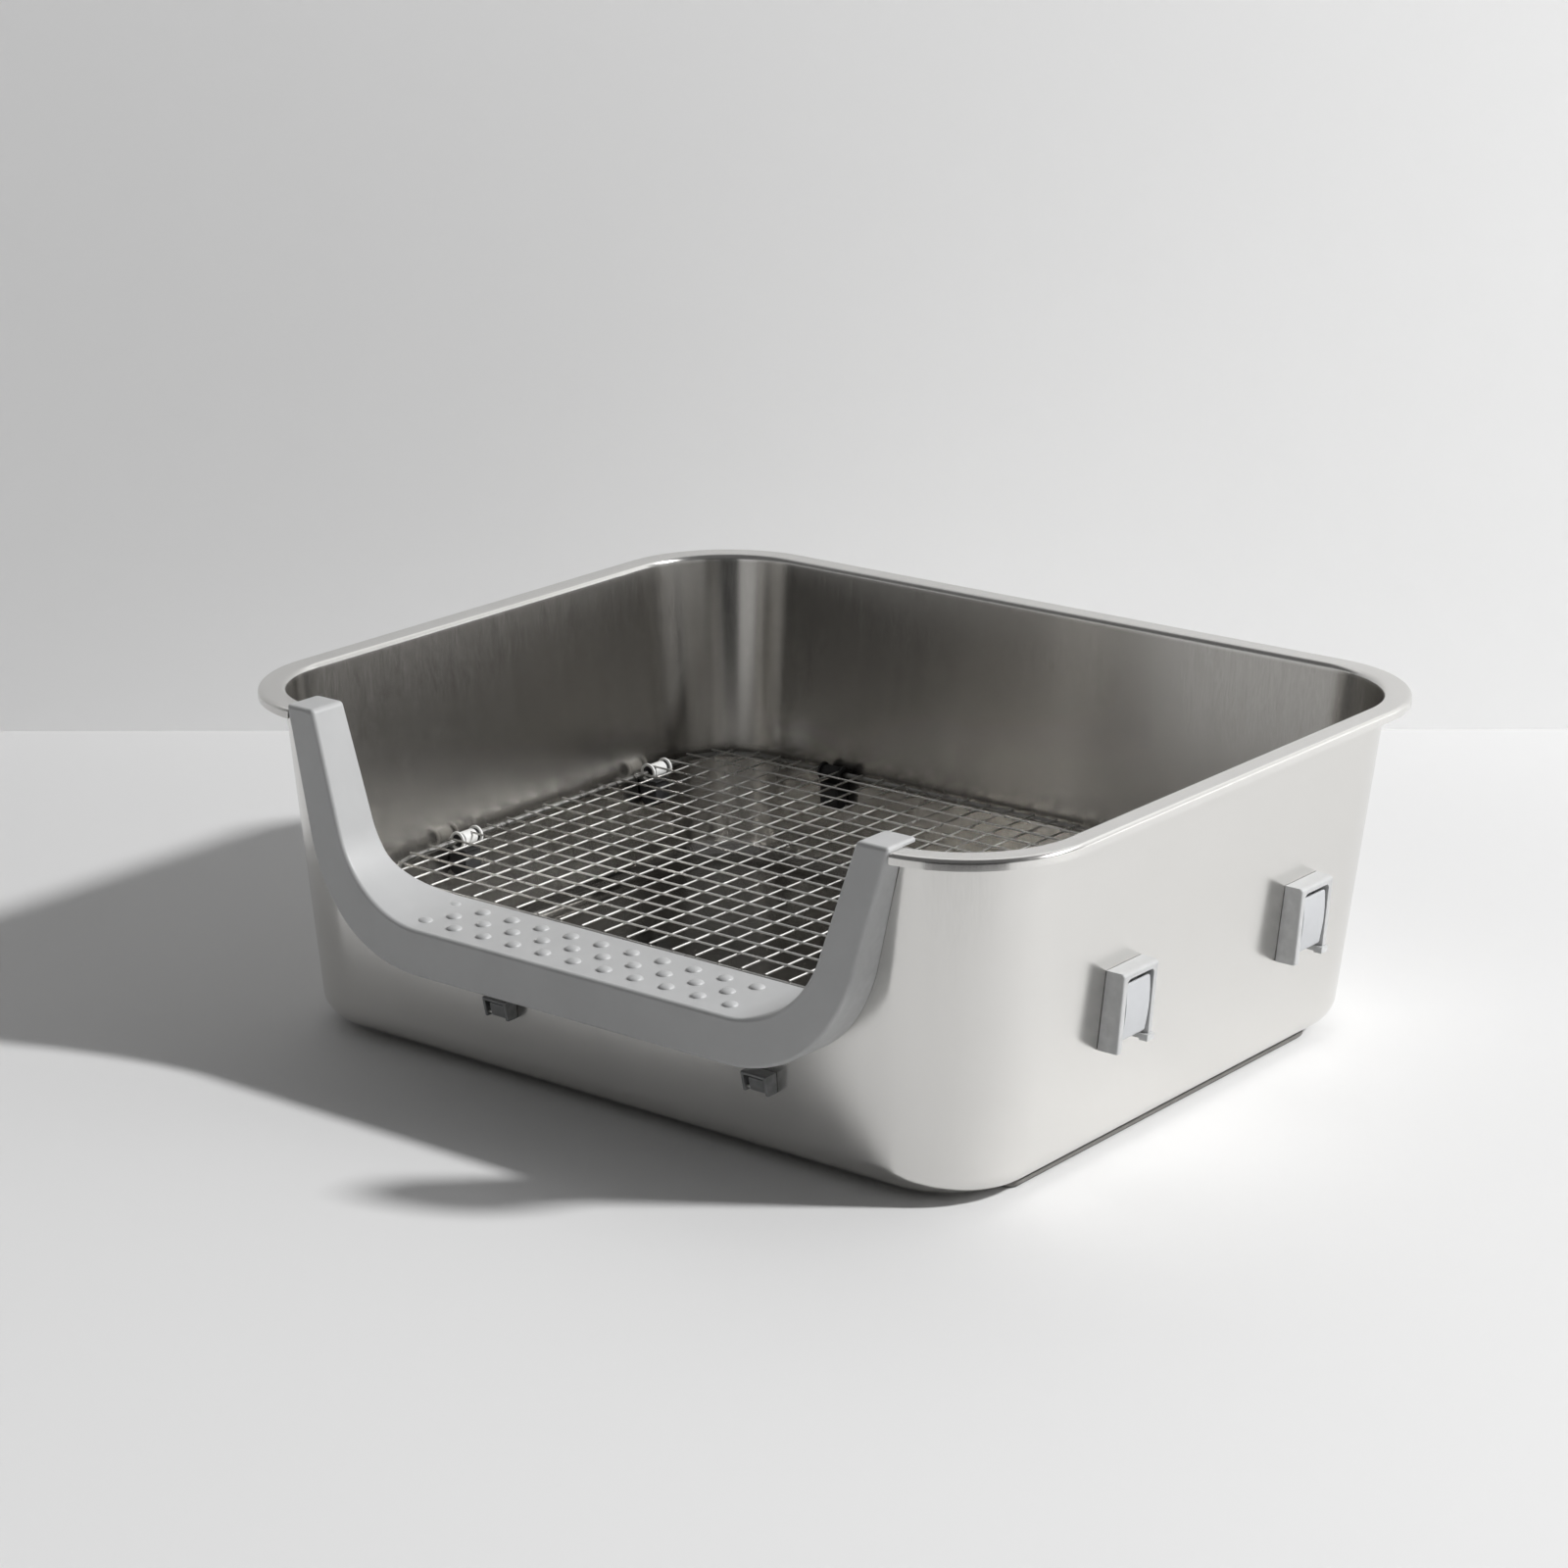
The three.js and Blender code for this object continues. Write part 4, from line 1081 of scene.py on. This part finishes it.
def clips_and_pads():
    walls = ["right", "right", "left", "left", "back", "back"]
    rod = FRAME_ROD / 2 + GAP
    reach = rod + CLIP_WALL
    cheek_at = (CLIP_LENGTH - CLIP_CHEEK) / 2
    bush_inset = 1.3 * GAP
    for i, wall in enumerate(walls, 1):
        low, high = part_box(f"grid_clip_{i}")
        place = Matrix.Translation((low + high) / 2) @ Matrix.Rotation(WALL_TURNS[wall], 4, "Z")
        # The back clips' saddles take the black rubber where the side clips are white: painted shade,
        # as they stand in the shade by the back wall
        shell = BLACK if wall == "back" else WHITE
        slot = "black_rubber" if wall == "back" else "white_plastic"
        saddle = tube(rod + GAP, reach, CLIP_LENGTH * SADDLE_LENGTH_SHARE, CLIP_OPENING)
        cheeks = [
            placed(tube(reach - GAP, reach + CHEEK_RISE, CLIP_CHEEK), Matrix.Translation((0, y, 0)))
            for y in (-cheek_at, cheek_at)
        ]
        finish_piece(f"clip_saddle_{i}", placed(joined(saddle, *cheeks), place), shell, "grid", slot,
                     [f"grid_clip_{i}"], bevel=SADDLE_EDGE, segments=2)
        bush = tube(rod, reach - bush_inset, CLIP_LENGTH * BUSH_LENGTH_SHARE)
        finish_piece(f"clip_bush_{i}", placed(bush, place), BLACK, "grid", "black_rubber",
                     [f"grid_clip_{i}"], bevel=BUSH_EDGE, segments=2)
        gap = BACK_WALL_GAP if wall == "back" else SIDE_WALL_GAP
        pad = placed(wall_pad(gap, reach + CHEEK_RISE), place)
        finish_piece(f"wall_pad_{i}", pad, BLACK, "grid", "black_rubber", [f"grid_pad_{i}"],
                     bevel=PAD_EDGE)


def wall_pad(wall_gap, clip_reach):
    """A rubber pad under a clip, its outer face lying on the sloping wall."""
    def wall_at(z):
        return wall_gap - GAP + WALL_TAPER / TRAY_HEIGHT * z

    top = -clip_reach - GAP
    foot = top - PAD_HEIGHT
    outline = [
        (-PAD_INNER, top), (wall_at(top), top),
        (wall_at(foot + PAD_CHAMFER), foot + PAD_CHAMFER), (wall_at(foot) - PAD_CHAMFER, foot),
        (PAD_CHAMFER - PAD_INNER, foot), (-PAD_INNER, foot + PAD_CHAMFER),
    ]
    return prism(outline, -PAD_LENGTH / 2, PAD_LENGTH / 2)


def foot_strips():
    """Rubber strips with round ends and three fine ribs along the tread."""
    for side in ("right", "left"):
        low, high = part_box(f"foot_strip_{side}")
        middle = (low + high) / 2
        half_x, half_y = (high.x - low.x) / 2, (high.y - low.y) / 2
        radius = half_x - GAP
        chamfer_top = low.z + 2 * FOOT_TREAD
        strip = rounded_body([
            (half_x - inset, half_y - inset, radius - inset, z, FILLET_STEPS)
            for inset, z in ((FOOT_CHAMFER, low.z + FOOT_TREAD), (0, chamfer_top), (0, high.z))
        ])
        ribs = []
        half_rib = half_x * RIB_WIDTH_SHARE
        for offset in (-1, 0, 1):
            rib = rounded_body([
                (half_rib, half_y - half_x, half_rib - GAP / 4, z, 6)
                for z in (low.z, high.z - FOOT_TREAD)
            ])
            ribs.append(placed(rib, Matrix.Translation((offset * half_x * RIB_PITCH_SHARE, 0, 0))))
        whole = placed(joined(strip, *ribs), Matrix.Translation((middle.x, middle.y, 0)))
        finish_piece(f"rubber_foot_{side}", whole, RUBBER, "tray", "grey_rubber",
                     [f"foot_strip_{side}"])


# The studio: a pale floor and backdrop, a fairly small key light from the right and a dim ceiling
BACKDROP_DISTANCE = 0.465
LIGHT_TOWARDS = Vector((1.1, 0.6, 1.0)).normalized()
KEY_DISTANCE = 5.0
KEY_SIZE = 0.42
KEY_POWER = 252.0
FLOOR_SIZE = 9.0
# The backdrop's emission is painted light: it rises from one end of the backdrop to the other, and
# shows to the camera and in the steel's reflections
BACKDROP_PAINTED_LIGHT = 0.25
PAINTED_LIGHT_ACROSS = (-0.9, 0.7)
BACKDROP_HEIGHT = 0.62
BRIGHT_SIDE = Vector((-0.45, 0.89, 0.0))
CAMERA_SIDE = Vector((0.62, -0.785, 0.0))
FLAG_START = Vector((0.24, -0.74, 0))
FLAG_END = Vector((0.75, -0.35, 0))
FLAG_HEIGHT = 0.4
BACKDROP_HALF = 3.5
FLOOR_COLOUR = (0.8, 0.8, 0.8)
BACKDROP_COLOUR = (0.88, 0.88, 0.88)
FLAG_COLOUR = (0.02, 0.02, 0.02)
DIM_SKY = (0.12, 0.12, 0.12)
BRIGHT_SKY = (1.2, 1.2, 1.2)
LOW_LIGHT = (0.9, 0.9, 0.9)
LOW_LIGHT_BY_CAMERA = (0.6, 0.6, 0.6)
SEEN_BEYOND = (0.8, 0.8, 0.8)
SKY_EDGE = 0.7
ZENITH = (0.75, 0.98)
CAMERA_SIDE_EDGE = 0.6
HORIZON = (0.05, 0.16)
STAGE_SHADE = 0.975
STAGE_ROUGHNESS = 0.75
STAGE_GLOSS = 0.25


def stage_material(name, colour, painted_light, see_through_back=False):
    """A pale matt surface. Its emission is painted light that rises along it, seen by the camera and in
    gloss only; it lights nothing.
    """
    material, tree, shader, place = new_material(name)
    uneven = noise_node(tree, place, 1.3, 2.0)
    shade = tuple(STAGE_SHADE * c for c in colour)
    tree.links.new(mix_colour(tree, uneven, shade, colour), shader.inputs["Base Color"])
    set_socket(shader, "Roughness", STAGE_ROUGHNESS)
    set_socket(shader, "Specular IOR Level", STAGE_GLOSS)
    if painted_light:
        path = tree.nodes.new("ShaderNodeLightPath")
        seen = math_node(tree, "MAXIMUM", path.outputs["Is Camera Ray"], path.outputs["Is Glossy Ray"])
        across = tree.nodes.new("ShaderNodeSeparateXYZ")
        tree.links.new(place, across.inputs["Vector"])
        rise = map_node(tree, across.outputs["X"], *PAINTED_LIGHT_ACROSS, 0.0, painted_light)
        set_socket(shader, "Emission Color", (1, 1, 1, 1))
        tree.links.new(math_node(tree, "MULTIPLY", rise, seen), shader.inputs["Emission Strength"])
    if see_through_back:
        clear = tree.nodes.new("ShaderNodeBsdfTransparent")
        either = tree.nodes.new("ShaderNodeMixShader")
        side = tree.nodes.new("ShaderNodeNewGeometry")
        out = tree.nodes["Material Output"]
        tree.links.new(side.outputs["Backfacing"], either.inputs[0])
        tree.links.new(shader.outputs[0], either.inputs[1])
        tree.links.new(clear.outputs[0], either.inputs[2])
        tree.links.new(either.outputs[0], out.inputs["Surface"])
    return material


def stage_plane(name, half_x, half_y, matrix, material):
    bm = bmesh.new()
    bmesh.ops.create_grid(bm, x_segments=1, y_segments=1, size=1)
    bmesh.ops.scale(bm, vec=(half_x, half_y, 1), verts=bm.verts)
    placed(bm, matrix)
    mesh = bpy.data.meshes.new(name)
    bm.to_mesh(mesh)
    bm.free()
    mesh.materials.append(material)
    plane = bpy.data.objects.new(name, mesh)
    scene.collection.objects.link(plane)
    return plane


def round_lamp(name, place, size, power):
    """A round soft lamp that looks at the middle of the floor."""
    data = bpy.data.lights.new(name, "AREA")
    data.shape = "DISK"
    data.size = size
    data.energy = power
    lamp = bpy.data.objects.new(name, data)
    scene.collection.objects.link(lamp)
    lamp.matrix_world = Matrix.Translation(place) @ place.to_track_quat("Z", "Y").to_matrix().to_4x4()


def floor_and_backdrop():
    stage_plane("floor", FLOOR_SIZE / 2, FLOOR_SIZE / 2, Matrix.Identity(4),
                stage_material("pale_floor", FLOOR_COLOUR, 0.0))
    away = Vector((-math.sin(CAMERA_AZIMUTH), math.cos(CAMERA_AZIMUTH), 0))
    stand = Matrix.Rotation(CAMERA_AZIMUTH, 4, "Z") @ Matrix.Rotation(math.pi / 2, 4, "X")
    place = Matrix.Translation(away * BACKDROP_DISTANCE + Vector((0, 0, BACKDROP_HEIGHT / 2)))
    pale = stage_material("pale_backdrop", BACKDROP_COLOUR, BACKDROP_PAINTED_LIGHT, see_through_back=True)
    stage_plane("backdrop", BACKDROP_HALF, BACKDROP_HEIGHT / 2, place @ stand, pale)


def dark_flag():
    """An upright dark board beside the camera's view, which the steel's corner mirrors."""
    along = FLAG_END - FLAG_START
    middle = (FLAG_START + FLAG_END) / 2 + Vector((0, 0, FLAG_HEIGHT / 2))
    turn = Matrix.Rotation(math.atan2(along.y, along.x), 4, "Z") @ Matrix.Rotation(math.pi / 2, 4, "X")
    flag = stage_plane("flag", along.length / 2, FLAG_HEIGHT / 2, Matrix.Translation(middle) @ turn,
                       stage_material("dark_flag", FLAG_COLOUR, 0.0))
    flag.visible_camera = False


def world_light():
    """A dim dome that is bright on one side, over a pale band at the horizon."""
    world = bpy.data.worlds.new("studio")
    scene.world = world
    world.use_nodes = True
    tree = world.node_tree
    heading = tree.nodes.new("ShaderNodeTexCoord").outputs["Generated"]
    split = tree.nodes.new("ShaderNodeSeparateXYZ")
    tree.links.new(heading, split.inputs["Vector"])

    def facing(direction, stop):
        towards = tree.nodes.new("ShaderNodeVectorMath")
        towards.operation = "DOT_PRODUCT"
        tree.links.new(heading, towards.inputs[0])
        towards.inputs[1].default_value = direction
        return map_node(tree, towards.outputs["Value"], 0.0, stop, 0.0, 1.0)

    def rising(start, stop):
        return map_node(tree, split.outputs["Z"], start, stop, 0.0, 1.0)

    sky = mix_colour(tree, facing(BRIGHT_SIDE, SKY_EDGE), DIM_SKY, BRIGHT_SKY)
    domed = mix_colour(tree, rising(*ZENITH), sky, DIM_SKY)
    low = mix_colour(tree, facing(CAMERA_SIDE, CAMERA_SIDE_EDGE), LOW_LIGHT, LOW_LIGHT_BY_CAMERA)
    lit = mix_colour(tree, rising(*HORIZON), low, domed)
    camera_ray = tree.nodes.new("ShaderNodeLightPath").outputs["Is Camera Ray"]
    colour = mix_colour(tree, camera_ray, lit, SEEN_BEYOND)
    tree.links.new(colour, tree.nodes["Background"].inputs["Color"])


make_camera()
tray_shell()
entry_guard()
latches()
grid_frame()
grid_wires()
clips_and_pads()
foot_strips()
floor_and_backdrop()
dark_flag()
round_lamp("key", LIGHT_TOWARDS * KEY_DISTANCE, KEY_SIZE, KEY_POWER)
world_light()
